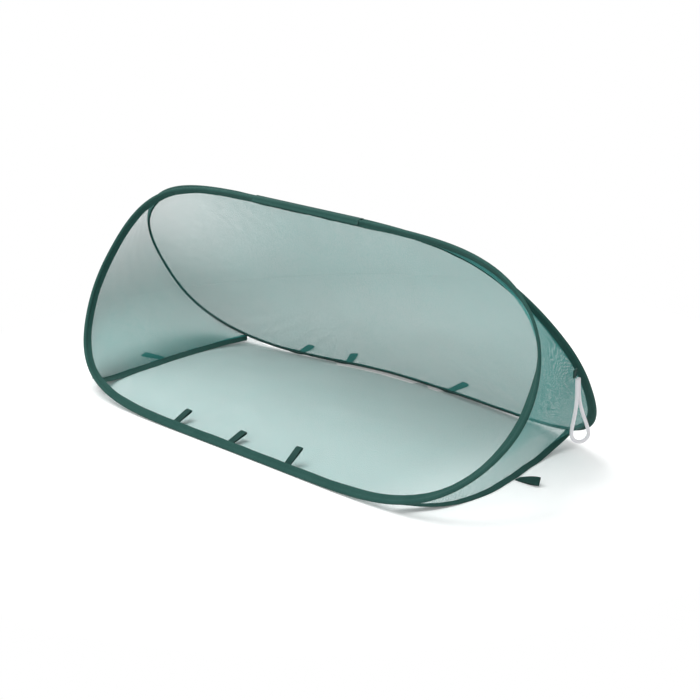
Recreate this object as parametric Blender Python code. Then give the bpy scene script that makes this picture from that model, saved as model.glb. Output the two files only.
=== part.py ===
"""Pop-up plant cover: two sprung oval hoops that lean together at a ridge, with mesh between them.

Metres, +Z up. The origin is on the ground, under the middle of the cover's box.
X runs along the ridge, -Y is the open front, and the white storage loop is at the +X end.
"""

import math

import bpy
import numpy as np
from mathutils import Vector

# Overall sizes
HOOP_LENGTH = 0.978  # between the wire's centres, along X
PANEL_SLOPE = 0.3965  # from the lower wire to the ridge wire, up the slope
FOOT_SPREAD = 0.381  # between the two lower wires, across the ground
CLEARANCE = 0.0003

# Hoop wire, its crimped sleeve and the folded tape sewn round it
WIRE_RADIUS = 0.00125
SLEEVE_INNER_RADIUS = 0.0016
SLEEVE_WALL = 0.00045
SLEEVE_LENGTH = 0.030
TAPE_THICKNESS = 0.00075
CHANNEL_RADIUS = SLEEVE_INNER_RADIUS + SLEEVE_WALL + 0.0005
TAPE_RADIUS = CHANNEL_RADIUS + TAPE_THICKNESS
OUTER_FLAP_WIDTH = 0.016
INNER_FLAP_WIDTH = 0.0095
WIRE_END_GAP = 0.0006

# Mesh sheets
MESH_THICKNESS = 0.0005

# Floor tapes
FLOOR_TAPE_WIDTH = 0.014
FLOOR_TAPE_THICKNESS = 0.001
FLOOR_TAPE_END_GAP = 0.011

# Ridge tape
RIDGE_TAPE_LENGTH = 0.24
RIDGE_TAPE_THICKNESS = 0.0007
RIDGE_TAPE_FLANK = 0.005

# Stake loops: a strip of webbing folded on itself, sewn together near its root
LOOP_LENGTH = 0.042
LOOP_WIDTH = 0.013
LOOP_SEWN_LENGTH = 0.009
LOOP_WEBBING = 0.00075
LOOP_SLOT = 0.0026
FLAT_LOOP_TILT = 2.5
RIGHT_LOOP_TILT = 10.0
FRONT_LOOPS = {"left": (-0.147, 21.0), "middle": (-0.015, 16.0), "right": (0.120, 36.0)}
REAR_LOOPS = {"left": (-0.255, 0.0), "middle": (-0.150, 20.0), "right": (0.082, 0.0)}

# Storage loop of white elastic, hung from the rear hoop's right arc
ELASTIC_DIAMETER = 0.0055
STORAGE_LOOP_HEIGHT = 0.172
STORAGE_LOOP_DROP = 0.102
STORAGE_LOOP_SPREAD = 0.026
STORAGE_LOOP_DRIFT = 0.012
STORAGE_LOOP_TWIST = 50.0
STORAGE_LOOP_CLOSED = 0.22  # the share of the drop over which the two strands hang together
STORAGE_PATCH_SIZE = 0.012
STORAGE_PATCH_THICKNESS = 0.002
STORAGE_PATCH_INSET = 0.021
STORAGE_LOOP_STANDOFF = 0.0070
SEAM_GAP = 0.0014

# How finely the curves are cut
HOOP_STATIONS = 72
FINE_STATIONS = 1440


class Hoop:
    """One hoop's shape. Each pair holds the values of its left and right halves.

    side is -1 at the front and +1 at the rear, and offset moves the hoop along X. For ends, tops
    and feet, a power over 2 squares the corners off and one under 2 draws them out. foot_bow is
    how far the middle of the foot bows out, and bow_powers how tightly. end_bow is how far the
    ends are drawn in.
    """

    def __init__(self, side, offset, ends, tops, feet, foot_bow, bow_powers, end_bow):
        self.side = side
        self.offset = offset
        self.ends = ends
        self.tops = tops
        self.feet = feet
        self.foot_bow = foot_bow
        self.bow_powers = bow_powers
        self.end_bow = end_bow


FRONT = Hoop(
    side=-1,
    offset=0.0247,
    ends=(5.93, 4.71),
    tops=(1.2, 2.6),
    feet=(1.84, 1.66),
    foot_bow=-0.0078,
    bow_powers=(1.3, 1.0),
    end_bow=0.021,
)
REAR = Hoop(
    side=1,
    offset=-0.0213,
    ends=(3.8, 4.85),
    tops=(1.8, 1.2),
    feet=(4.0, 3.74),
    foot_bow=0.046,
    bow_powers=(5.5, 1.3),
    end_bow=0.004,
)

# Where each end's floor tape meets the hoops, how far it bulges between them, how much more near
# the front, how squarely, and where its stake loop is sewn on, as a share of the way from front
# to rear
LEFT_TAPE = {
    "end": -1,
    "front_x": -0.361,
    "rear_x": -0.370,
    "bulge": 0.0525,
    "skew": 0.10,
    "power": 4,
    "loop_at": 0.55,
}
RIGHT_TAPE = {
    "end": 1,
    "front_x": 0.342,
    "rear_x": 0.3825,
    "bulge": 0.0565,
    "skew": 1.50,
    "power": 2,
    "loop_at": 0.57,
}
LANDING = 0.28

# Sizes that follow from those above
RIDGE_GAP = TAPE_RADIUS + CLEARANCE / 2
LEAN = math.asin((FOOT_SPREAD / 2 - RIDGE_GAP) / PANEL_SLOPE)
RIDGE_WIRE_Z = TAPE_RADIUS + PANEL_SLOPE * math.cos(LEAN)
RIDGE_AXIS_Z = RIDGE_WIRE_Z - RIDGE_GAP * math.tan(LEAN / 2)
HALF_MESH = MESH_THICKNESS / 2
MESH_INSET = CHANNEL_RADIUS + CLEARANCE


def clear_scene():
    for obj in list(bpy.data.objects):
        bpy.data.objects.remove(obj)


def material(name, colour, roughness, metallic=0.0):
    made = bpy.data.materials.new(name)
    made.use_nodes = True
    shader = made.node_tree.nodes["Principled BSDF"]
    shader.inputs["Base Color"].default_value = (*colour, 1.0)
    shader.inputs["Roughness"].default_value = roughness
    shader.inputs["Metallic"].default_value = metallic
    return made


def add_object(name, data, finish, origin=(0.0, 0.0, 0.0), parent=None):
    """Links an object whose data is in world coordinates, and moves its origin to the given point."""
    data.materials.append(finish)
    obj = bpy.data.objects.new(name, data)
    bpy.context.scene.collection.objects.link(obj)
    shift = Vector(origin)
    if obj.type == "MESH":
        for vertex in data.vertices:
            vertex.co -= shift
    else:
        for spline in data.splines:
            for point in spline.points:
                point.co = (*(Vector(point.co[:3]) - shift), 1.0)
    if parent is not None:
        obj.parent = parent
        shift = shift - parent.location
    obj.location = shift
    return obj


def mesh_of(name, points, faces):
    mesh = bpy.data.meshes.new(name)
    mesh.from_pydata([tuple(map(float, p)) for p in points], [], faces)
    mesh.update()
    return mesh


def thicken(obj, thickness):
    solid = obj.modifiers.new("Thickness", "SOLIDIFY")
    solid.thickness = thickness
    solid.offset = 0.0
    solid.use_even_offset = True
    return obj


def unit(vectors):
    vectors = np.asarray(vectors, float)
    return vectors / np.linalg.norm(vectors, axis=-1, keepdims=True)


def surface(hoop, along, rise):
    """A point of the hoop's own panel: along runs from -1 to 1 across X, rise from 0 at the foot to 1 at the ridge."""
    along, rise = np.asarray(along, float), np.asarray(rise, float)
    bow_power = np.where(along < 0, *hoop.bow_powers)
    foot_bow = hoop.foot_bow * np.clip(1 - along**2, 0, None) ** bow_power * (1 - rise)
    drawn_in = hoop.end_bow * along**4 * (1 - (2 * rise - 1) ** 2)
    x = hoop.offset + along * HOOP_LENGTH / 2
    out = RIDGE_GAP + PANEL_SLOPE * math.sin(LEAN) * (1 - rise) + foot_bow - math.cos(LEAN) * drawn_in
    z = TAPE_RADIUS + PANEL_SLOPE * math.cos(LEAN) * rise - math.sin(LEAN) * drawn_in
    return np.stack([x, hoop.side * out, z], axis=-1)


def surface_normal(hoop, along, rise):
    """Outward from the inside of the cover."""
    step = 1e-4
    across = surface(hoop, along + step, rise) - surface(hoop, along - step, rise)
    up = surface(hoop, along, rise + step) - surface(hoop, along, rise - step)
    normal = unit(np.cross(across, up))
    return normal * np.sign(normal[..., 1:2] * hoop.side)


def outline(hoop):
    """The wire's line in panel coordinates, finely cut, from the ridge's middle round by -X and back."""
    turn = math.pi / 2 + np.linspace(0, 2 * math.pi, FINE_STATIONS, endpoint=False)
    cosine, sine = np.cos(turn), np.sin(turn)
    end_power, top_power, foot_power = (
        left + (right - left) * (cosine + 1) / 2 for left, right in (hoop.ends, hoop.tops, hoop.feet)
    )
    power = np.where(sine >= 0, top_power, foot_power)
    along = np.sign(cosine) * np.abs(cosine) ** (2 / end_power)
    rise = (1 + np.sign(sine) * np.abs(sine) ** (2 / power)) / 2
    return rounded(even(hoop, np.stack([along, rise], axis=1), FINE_STATIONS))


def even(hoop, loop, count):
    """The closed loop again, with count points an equal way apart."""
    closed = np.vstack([loop, loop[:1]])
    points = surface(hoop, closed[:, 0], closed[:, 1])
    length = np.concatenate([[0], np.cumsum(np.linalg.norm(np.diff(points, axis=0), axis=1))])
    wanted = np.linspace(0, length[-1], count, endpoint=False)
    return np.stack([np.interp(wanted, length, closed[:, i]) for i in (0, 1)], axis=1)


def rounded(loop, reach=24):
    """Sprung wire has no kinks: each point becomes the mean of its neighbours within reach."""
    wrapped = np.vstack([loop[-reach:], loop, loop[:reach]])
    kernel = np.ones(2 * reach + 1) / (2 * reach + 1)
    return np.stack([np.convolve(wrapped[:, i], kernel, "valid") for i in (0, 1)], axis=1)


class Frames:
    """Points on the hoop's wire with the directions of its tape: out from the hoop, and off its panel."""

    def __init__(self, hoop, loop):
        self.loop = loop
        self.points = surface(hoop, loop[:, 0], loop[:, 1])
        tangent = unit(np.roll(self.points, -1, axis=0) - np.roll(self.points, 1, axis=0))
        normal = surface_normal(hoop, loop[:, 0], loop[:, 1])
        self.normal = unit(normal - tangent * np.sum(normal * tangent, axis=1, keepdims=True))
        radial = np.cross(tangent, self.normal)
        outwards = self.points - self.points.mean(axis=0)
        self.radial = radial * np.sign(np.sum(radial * outwards, axis=1, keepdims=True))

    def offset(self, radial, normal):
        return self.points + self.radial * radial + self.normal * normal


def arc(radius, start, end, count):
    return [(radius * math.cos(a), radius * math.sin(a)) for a in np.radians(np.linspace(start, end, count))]


def tape_section():
    """The folded tape: a channel round the wire, with a wide flap outside the panel and a narrow one inside."""
    near, far = HALF_MESH + CLEARANCE, HALF_MESH + CLEARANCE + TAPE_THICKNESS
    outer_tip, inner_tip = TAPE_RADIUS - OUTER_FLAP_WIDTH, TAPE_RADIUS - INNER_FLAP_WIDTH
    neck = -1.3 * TAPE_RADIUS
    section = [(outer_tip, far), (neck - TAPE_THICKNESS / 2, far)]
    section += arc(TAPE_RADIUS, 110, -110, 6)
    section += [(neck, -far), (inner_tip, -far), (inner_tip, -near), (neck, -near)]
    section += arc(CHANNEL_RADIUS, -115, 115, 6)
    section += [(neck - TAPE_THICKNESS / 2, near), (outer_tip, near)]
    return section


def ring_faces(stations, sides, closed):
    faces = []
    for i in range(stations if closed else stations - 1):
        j = (i + 1) % stations
        for a in range(sides):
            b = (a + 1) % sides
            faces.append((i * sides + a, j * sides + a, j * sides + b, i * sides + b))
    return faces


def outward(mesh):
    """Turns the faces out if the closed mesh is inside out."""
    volume = 0.0
    for face in mesh.polygons:
        corners = [mesh.vertices[i].co for i in face.vertices]
        for b, c in zip(corners[1:-1], corners[2:]):
            volume += corners[0].dot(b.cross(c))
    if volume < 0:
        mesh.flip_normals()
    return mesh


def smooth(obj, angle=35):
    obj.data.shade_smooth()
    obj.data.set_sharp_from_angle(angle=math.radians(angle))
    return obj


def make_binding(name, frames, finish, origin, parent):
    section = tape_section()
    rings = np.stack([frames.offset(r, n) for r, n in section], axis=1)
    faces = ring_faces(len(frames.points), len(section), closed=True)
    mesh = outward(mesh_of(name, rings.reshape(-1, 3), faces))
    return smooth(add_object(name, mesh, finish, origin, parent))


def tube(name, points, radius, finish, sides=1, origin=(0, 0, 0), parent=None):
    curve = bpy.data.curves.new(name, "CURVE")
    curve.dimensions = "3D"
    curve.bevel_depth = radius
    curve.bevel_resolution = sides
    curve.use_fill_caps = True
    spline = curve.splines.new("POLY")
    spline.points.add(len(points) - 1)
    for point, place in zip(spline.points, points):
        point.co = (*map(float, place), 1.0)
    return add_object(name, curve, finish, origin, parent)


def make_wire(name, frames, finish, origin, parent):
    """The sprung wire. Its two ends meet inside the sleeve at the ridge's middle."""
    start, first, last = frames.points[0], frames.points[1], frames.points[-1]
    lead = start + unit(first - start) * WIRE_END_GAP / 2
    tail = start + unit(last - start) * WIRE_END_GAP / 2
    points = [lead, *frames.points[1:], tail]
    return tube(name, points, WIRE_RADIUS, finish, origin=origin, parent=parent)


def make_sleeve(name, frames, finish, origin, parent):
    """The crimped sleeve over the wire's two ends."""
    sides = 8
    centre, outer = frames.points[0], SLEEVE_INNER_RADIUS + SLEEVE_WALL
    points, faces = [], []
    for end in (-0.5, 0.5):
        for radius in (outer, SLEEVE_INNER_RADIUS):
            for y, z in arc(radius, 0, 360 - 360 / sides, sides):
                points.append(centre + np.array([end * SLEEVE_LENGTH, y, z]))
    for a in range(sides):
        b = (a + 1) % sides
        faces.append((a, b, 2 * sides + b, 2 * sides + a))
        faces.append((sides + b, sides + a, 3 * sides + a, 3 * sides + b))
        faces.append((b, a, sides + a, sides + b))
        faces.append((2 * sides + a, 2 * sides + b, 3 * sides + b, 3 * sides + a))
    mesh = outward(mesh_of(name, points, faces))
    return smooth(add_object(name, mesh, finish, origin, parent))


def grid_faces(rows, columns):
    faces = []
    for i in range(rows - 1):
        for j in range(columns - 1):
            corner = i * columns + j
            faces.append((corner, corner + 1, corner + columns + 1, corner + columns))
    return faces


def make_sheet(name, grid, thickness, finish, parent=None):
    """A thin sheet through a grid of points: rows, columns, then X, Y and Z."""
    rows, columns = grid.shape[:2]
    mesh = mesh_of(name, grid.reshape(-1, 3), grid_faces(rows, columns))
    return thicken(smooth(add_object(name, mesh, finish, parent=parent)), thickness)


def make_rear_mesh(frames_loop, finish):
    """The rear panel, held all round in the rear tape's channel."""
    count = len(frames_loop)
    edge = Frames(REAR, frames_loop)
    centre = np.array([0.0, 0.5])
    points, faces = [], []
    for inset in (MESH_INSET, OUTER_FLAP_WIDTH + CLEARANCE):
        points += [*edge.offset(-inset, 0)]
    for share in (0.7, 0.35):
        inner = centre + (frames_loop - centre) * share
        points += [*surface(REAR, inner[:, 0], inner[:, 1])]
    points.append(surface(REAR, *centre))
    rings = (len(points) - 1) // count
    for ring in range(rings - 1):
        for a in range(count):
            b = (a + 1) % count
            base = ring * count
            faces.append((base + a, base + b, base + count + b, base + count + a))
    last = (rings - 1) * count
    faces += [(last + a, last + (a + 1) % count, len(points) - 1) for a in range(count)]
    obj = smooth(add_object("rear_mesh_panel", mesh_of("rear_mesh_panel", points, faces), finish))
    return thicken(obj, MESH_THICKNESS)


class HoopLine:
    """The fine outline of a hoop, to look points up by X along its foot or by share of an arc."""

    def __init__(self, hoop):
        self.frames = Frames(hoop, outline(hoop))
        rise = self.frames.loop[:, 1]
        self.foot = np.flatnonzero(rise < 0.5)
        self.order = self.foot[np.argsort(self.frames.points[self.foot, 0])]

    def at_foot(self, x, radial=0.0, normal=0.0):
        """The wire's point above x on the hoop's lower half, or one offset from it."""
        places = self.frames.offset(radial, normal)[self.order]
        return np.stack([np.interp(x, self.frames.points[self.order, 0], places[:, i]) for i in range(3)], axis=-1)

    def arc_points(self, end, foot_x, top_rise, count, normal=0.0):
        """Points up one end's arc, from above foot_x to where it has risen to top_rise."""
        points, rise = self.frames.points, self.frames.loop[:, 1]
        here = np.flatnonzero((points[:, 0] * end > 0) & (rise < top_rise))
        here = here[(points[here, 0] * end > foot_x * end) | (rise[here] > 0.5)]
        here = here[np.argsort(rise[here])]
        chosen = here[np.round(np.linspace(0, len(here) - 1, count)).astype(int)]
        return self.frames.offset(0, normal)[chosen]


END_ROWS = 16
END_TOP_RISE = 0.965
SEAM_SHARES = np.linspace(0, 1, 15)
SHEET_STANDOFF = TAPE_RADIUS + 2 * CLEARANCE + HALF_MESH


def tape_shares():
    """The seam's stations, with the first and last moved in to where the tape and the floor are cut off."""
    margin = FLOOR_TAPE_END_GAP / FOOT_SPREAD
    return np.array([margin, *SEAM_SHARES[1:-1], 1 - margin])


def floor_path(lines, tape, shares, lift):
    """The line that a floor tape follows: down from the front hoop, over the ground and up to the rear hoop."""
    front = lines[-1].at_foot(tape["front_x"], normal=-SHEET_STANDOFF)
    rear = lines[1].at_foot(tape["rear_x"], normal=-SHEET_STANDOFF)
    shares = np.asarray(shares, float)[:, None]
    path = front + (rear - front) * shares
    middle = 1 - np.abs(2 * shares[:, 0] - 1) ** tape["power"]
    middle *= 1 + tape["skew"] * (0.25 - shares[:, 0])
    path[:, 0] += tape["end"] * tape["bulge"] * middle
    down = np.clip(1 - shares[:, 0] / LANDING, 0, 1) ** 2
    up = np.clip(1 - (1 - shares[:, 0]) / LANDING, 0, 1) ** 2
    path[:, 2] = lift + (front[2] - lift) * down + (rear[2] - lift) * up
    return path


def end_grid(lines, tape):
    """The three-sided end panel, from the floor tape up to where the hoops meet."""
    columns = SEAM_SHARES
    rise = np.linspace(0, 1, END_ROWS)[:, None, None]
    sides = [
        lines[s].arc_points(tape["end"], tape[key], END_TOP_RISE, END_ROWS, normal=-SHEET_STANDOFF)
        for s, key in ((-1, "front_x"), (1, "rear_x"))
    ]
    grid = sides[0][:, None] + (sides[1] - sides[0])[:, None] * columns[None, :, None]
    bottom = floor_path(lines, tape, columns, FLOOR_TAPE_THICKNESS + 3 * CLEARANCE + HALF_MESH)
    bottom[:, 2] = np.maximum(bottom[:, 2], floor_path(lines, tape, columns, 0)[:, 2] + SEAM_GAP)
    drop = bottom - grid[0]
    return grid + drop[None] * (1 - rise) ** 3


def make_floor_tape(name, lines, tape, finish):
    path = floor_path(lines, tape, tape_shares(), FLOOR_TAPE_THICKNESS / 2)
    across = np.array([FLOOR_TAPE_WIDTH / 2, 0, 0])
    grid = np.stack([path - across, path + across], axis=1)
    return make_sheet(name, grid, FLOOR_TAPE_THICKNESS, finish)


def floor_grid(lines):
    """The floor panel: it lies on the ground, and only its corners rise towards the hoops."""
    columns = 17
    down = tape_shares()
    inset = FLOOR_TAPE_WIDTH / 2 + 2 * CLEARANCE
    lift = HALF_MESH + CLEARANCE
    edges = []
    for tape in (LEFT_TAPE, RIGHT_TAPE):
        edge = floor_path(lines, tape, down, lift)
        edge[:, 0] -= tape["end"] * inset
        edges.append(edge)
    across = np.linspace(0, 1, columns)[None, :, None]
    grid = edges[0][:, None] * (1 - across) + edges[1][:, None] * across
    level = grid[..., 2].copy()
    grid[..., 2] = lift
    near_edge = np.abs(2 * across[0, :, 0] - 1)[None] ** 8
    grid[..., 2] += (level - lift) * near_edge
    for row, share, side in ((0, 1.0, -1), (1, 0.5, -1), (-1, 1.0, 1), (-2, 0.5, 1)):
        wanted = floor_edge(lines[side], side, grid[row, :, 0])
        keep = 1 - near_edge[0]
        grid[row, :, 1] += (wanted[:, 1] - grid[row, :, 1]) * keep * share
        raised = np.maximum(wanted[:, 2] - lift, 0) * (1 if share == 1 else 0)
        grid[row, :, 2] += raised * keep
    return grid


def floor_edge(line, side, x):
    """Just inside the foot of a hoop's tape, where the floor is sewn to it."""
    reach = TAPE_RADIUS + HALF_MESH + 2 * CLEARANCE
    droop = math.radians(25)
    edge = line.at_foot(x)
    edge[:, 1] -= side * reach * math.cos(droop)
    edge[:, 2] -= reach * math.sin(droop)
    return edge


def make_ridge_tape(finish, axis):
    """The strip sewn over both hoops' tapes along the ridge."""
    gap = CLEARANCE + RIDGE_TAPE_THICKNESS / 2 + 0.0003
    radius = TAPE_RADIUS + gap
    columns = []
    for x in np.linspace(-0.5, 0.5, 9) * RIDGE_TAPE_LENGTH:
        top = RIDGE_WIRE_Z
        right = [(RIDGE_GAP + y, top + z) for y, z in arc(radius, 80, 0, 4)]
        y, z = right[-1]
        down = Vector((math.sin(LEAN), -math.cos(LEAN))) * RIDGE_TAPE_FLANK
        right.append((y + down[0], z + down[1]))
        left = [(-a, b) for a, b in right[::-1]]
        columns.append([(x, a, b) for a, b in left + right])
    mesh = mesh_of("ridge_seam_tape", np.array(columns).reshape(-1, 3), grid_faces(9, len(columns[0])))
    return thicken(smooth(add_object("ridge_seam_tape", mesh, finish, axis)), RIDGE_TAPE_THICKNESS)


def loop_section():
    """The side view of a stake loop: pairs of outer and inner points, round from the root's underside."""
    sewn = LOOP_WEBBING + 0.0001
    half_slot = LOOP_SLOT / 2
    length = LOOP_LENGTH
    upper = [
        ((-0.9 * sewn, 0.0), (LOOP_SEWN_LENGTH, 0.0)),
        ((-0.5 * sewn, 0.8 * sewn), (LOOP_SEWN_LENGTH + 0.002, 0.0002)),
        ((LOOP_SEWN_LENGTH, sewn), (0.35 * length, 0.35 * half_slot)),
        ((0.55 * length, 0.7 * half_slot + LOOP_WEBBING), (0.6 * length, 0.7 * half_slot)),
        ((0.86 * length, half_slot + LOOP_WEBBING), (0.86 * length, half_slot)),
        ((length - 0.5 * half_slot, 0.8 * half_slot + 0.8 * LOOP_WEBBING), (0.93 * length, 0.75 * half_slot)),
        ((length, 0.0), (length - LOOP_WEBBING - 0.0004, 0.0)),
    ]
    lower = [((a, -b), (c, -d)) for (a, b), (c, d) in upper[-2:0:-1]]
    return upper + lower


def make_stake_loop(name, root, yaw, tilt, finish, parent=None):
    """A loop with its root's line at the origin of the object. It points along its own Y."""
    section = loop_section()
    count = len(section)
    points = []
    for x in (-LOOP_WIDTH / 2, LOOP_WIDTH / 2):
        points += [(x, *outer) for outer, _ in section]
        points += [(x, *inner) for _, inner in section]
    faces = []
    for a in range(count):
        b = (a + 1) % count
        faces.append((a, b, 2 * count + b, 2 * count + a))
        faces.append((count + b, count + a, 3 * count + a, 3 * count + b))
        faces.append((b, a, count + a, count + b))
        faces.append((2 * count + a, 2 * count + b, 3 * count + b, 3 * count + a))
    obj = smooth(add_object(name, outward(mesh_of(name, points, faces)), finish), angle=50)
    obj.rotation_euler = (math.radians(tilt), 0.0, math.radians(yaw))
    place = Vector(root)
    if parent is not None:
        obj.parent = parent
        place = place - parent.location
    obj.location = place
    return obj


ROOT_GAP = 0.0006


def loop_roots(lines):
    """Each stake loop's name, root, heading and tilt. Heading 0 points along +Y."""
    root_radius = LOOP_WEBBING + 0.0001
    standoff = TAPE_RADIUS + root_radius + ROOT_GAP
    low = root_radius + 0.0004
    made = []
    for place, (x, tilt) in FRONT_LOOPS.items():
        made.append((f"front_stake_loop_{place}", lines[-1].at_foot(x) + [0, standoff, 0.0001], 0, tilt))
    for place, (x, turn) in REAR_LOOPS.items():
        before, after = lines[1].at_foot(x - LOOP_WIDTH / 2), lines[1].at_foot(x + LOOP_WIDTH / 2)
        along = math.degrees(math.atan2(after[1] - before[1], LOOP_WIDTH))
        reach = standoff + LOOP_WIDTH / 2 * math.sin(math.radians(abs(turn)))
        y = lines[1].at_foot(x)[1] + reach / math.cos(math.radians(along))
        made.append((f"rear_stake_loop_{place}", [x, y, low], along + turn, FLAT_LOOP_TILT))
    for side, tape, yaw, tilt in (("left", LEFT_TAPE, 106, FLAT_LOOP_TILT), ("right", RIGHT_TAPE, -90, RIGHT_LOOP_TILT)):
        half_width = LOOP_WIDTH / 2 / FOOT_SPREAD
        under = floor_path(lines, tape, tape["loop_at"] + np.linspace(-half_width, half_width, 5), 0)
        outermost = np.max(under[:, 0] * tape["end"]) * tape["end"]
        reach = FLOOR_TAPE_WIDTH / 2 + root_radius + ROOT_GAP
        reach += LOOP_WIDTH / 2 * abs(math.cos(math.radians(yaw)))
        root = [outermost + tape["end"] * reach, under[2, 1], low]
        made.append((f"{side}_stake_loop", root, yaw, tilt))
    return made


class StorageSeam:
    """Where the elastic is sewn: on the right end's outer face, close to the rear hoop's tape."""

    def __init__(self, lines):
        rear, front = (self.at_height(lines[side]) for side in (1, -1))
        self.along = unit(front - rear)
        self.out = unit(np.cross(self.along, [0, 0, 1.0]))
        self.out = self.out * np.sign(self.out[0])
        self.patch = rear + self.along * (STORAGE_PATCH_INSET + STORAGE_PATCH_SIZE / 2)

    @staticmethod
    def at_height(line):
        points = line.frames.points
        right = np.flatnonzero((points[:, 0] > 0) & (line.frames.loop[:, 1] < 0.9))
        here = right[np.argmin(np.abs(points[right, 2] - STORAGE_LOOP_HEIGHT))]
        return points[here]


def make_storage_patch(seam, finish):
    """The small square of tape that holds the elastic's two ends."""
    half = STORAGE_PATCH_SIZE / 2
    points, faces = [], [(0, 1, 2, 3), (7, 6, 5, 4)]
    for depth in (SEAM_GAP, SEAM_GAP + STORAGE_PATCH_THICKNESS):
        for a, b in ((-half, -half), (half, -half), (half, half), (-half, half)):
            points.append(seam.patch + seam.out * depth + seam.along * a + np.array([0, 0, b]))
    faces += [(a, a + 4, (a + 1) % 4 + 4, (a + 1) % 4) for a in range(4)]
    return add_object("storage_loop_patch", outward(mesh_of("storage_loop_patch", points, faces)), finish)


def storage_route(seam):
    """The elastic: down one side, round and up the other, hung under the patch."""
    start = seam.patch + seam.out * STORAGE_LOOP_STANDOFF
    start[2] -= STORAGE_PATCH_SIZE / 2 + CLEARANCE + 0.001
    top, bottom = ELASTIC_DIAMETER / 2 + CLEARANCE, STORAGE_LOOP_SPREAD / 2
    straight = STORAGE_LOOP_DROP - bottom
    side = []
    for share in np.linspace(0, 1, 12)[:-1]:
        opened = max(0.0, (share - STORAGE_LOOP_CLOSED) / (1 - STORAGE_LOOP_CLOSED))
        ease = opened * opened * (3 - 2 * opened)
        side.append((top + (bottom - top) * ease, -straight * share))
    turn = np.linspace(0, math.pi, 13)
    strand = [(-a, b) for a, b in side]
    strand += [(-bottom * math.cos(a), -straight - bottom * math.sin(a)) for a in turn]
    strand += side[::-1]
    heading = math.atan2(-seam.along[1], -seam.along[0])
    points = []
    for sideways, height in strand:
        fallen = min(-height / straight, 1.0) ** 2
        angle = heading - math.radians(STORAGE_LOOP_TWIST) * fallen
        place = start - seam.along * STORAGE_LOOP_DRIFT * fallen
        points.append(place + np.array([sideways * math.cos(angle), sideways * math.sin(angle), height]))
    return points


def centre_on_ground(free):
    """Moves the whole cover so that the origin lies under the middle of its box, measured without the free piece."""
    bpy.context.view_layer.update()
    graph = bpy.context.evaluated_depsgraph_get()
    places = []
    for obj in bpy.context.scene.objects:
        if obj.type == "EMPTY" or obj.name == free:
            continue
        evaluated = obj.evaluated_get(graph)
        mesh = evaluated.to_mesh()
        places += [tuple(evaluated.matrix_world @ vertex.co) for vertex in mesh.vertices]
        evaluated.to_mesh_clear()
    low, high = np.min(places, axis=0), np.max(places, axis=0)
    middle = Vector(((low[0] + high[0]) / 2, (low[1] + high[1]) / 2, low[2]))
    for obj in bpy.context.scene.objects:
        if obj.parent is None:
            obj.location -= middle


def build():
    clear_scene()
    green_tape = material("green_tape", (0.016, 0.070, 0.060), 0.75)
    green_mesh = material("green_mesh", (0.25, 0.45, 0.42), 0.8)
    webbing = material("webbing", (0.016, 0.068, 0.058), 0.8)
    steel = material("spring_steel", (0.35, 0.36, 0.37), 0.35, 1.0)
    sleeve_metal = material("sleeve_metal", (0.6, 0.61, 0.62), 0.3, 1.0)
    elastic = material("white_elastic", (0.85, 0.84, 0.87), 0.7)

    axis = (0.0, 0.0, RIDGE_AXIS_Z)
    fold = bpy.data.objects.new("front_fold_axis", None)
    bpy.context.scene.collection.objects.link(fold)
    fold.location = axis

    lines = {hoop.side: HoopLine(hoop) for hoop in (FRONT, REAR)}
    for label, hoop, parent in (("front", FRONT, fold), ("rear", REAR, None)):
        loop = even(hoop, outline(hoop), HOOP_STATIONS)
        frames = Frames(hoop, loop)
        make_wire(f"{label}_hoop_wire", frames, steel, axis, parent)
        make_sleeve(f"{label}_hoop_sleeve", frames, sleeve_metal, axis, parent)
        make_binding(f"{label}_hoop_binding", frames, green_tape, axis, parent)
        if hoop is REAR:
            make_rear_mesh(loop, green_mesh)

    make_ridge_tape(green_tape, axis)
    for label, tape in (("left", LEFT_TAPE), ("right", RIGHT_TAPE)):
        make_floor_tape(f"{label}_floor_tape", lines, tape, green_tape)
        make_sheet(f"{label}_end_mesh", end_grid(lines, tape), MESH_THICKNESS, green_mesh)
    make_sheet("floor_mesh", floor_grid(lines), MESH_THICKNESS, green_mesh)

    for name, root, yaw, tilt in loop_roots(lines):
        parent = fold if name.startswith("front") else None
        make_stake_loop(name, root, yaw, tilt, webbing, parent)

    seam = StorageSeam(lines)
    make_storage_patch(seam, green_tape)
    tube("storage_loop", storage_route(seam), ELASTIC_DIAMETER / 2, elastic, sides=2)
    centre_on_ground(free="storage_loop")


build()
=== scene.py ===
"""Looks for the pop-up plant cover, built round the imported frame.

Metres, +Z up, in the row frame. -Y is the open front, and the white storage loop is at the +X end.
"""

from math import asin, atan2, cos, degrees, pi, radians, sin

import bmesh
import bpy
import numpy as np
from mathutils import Matrix, Vector


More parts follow.
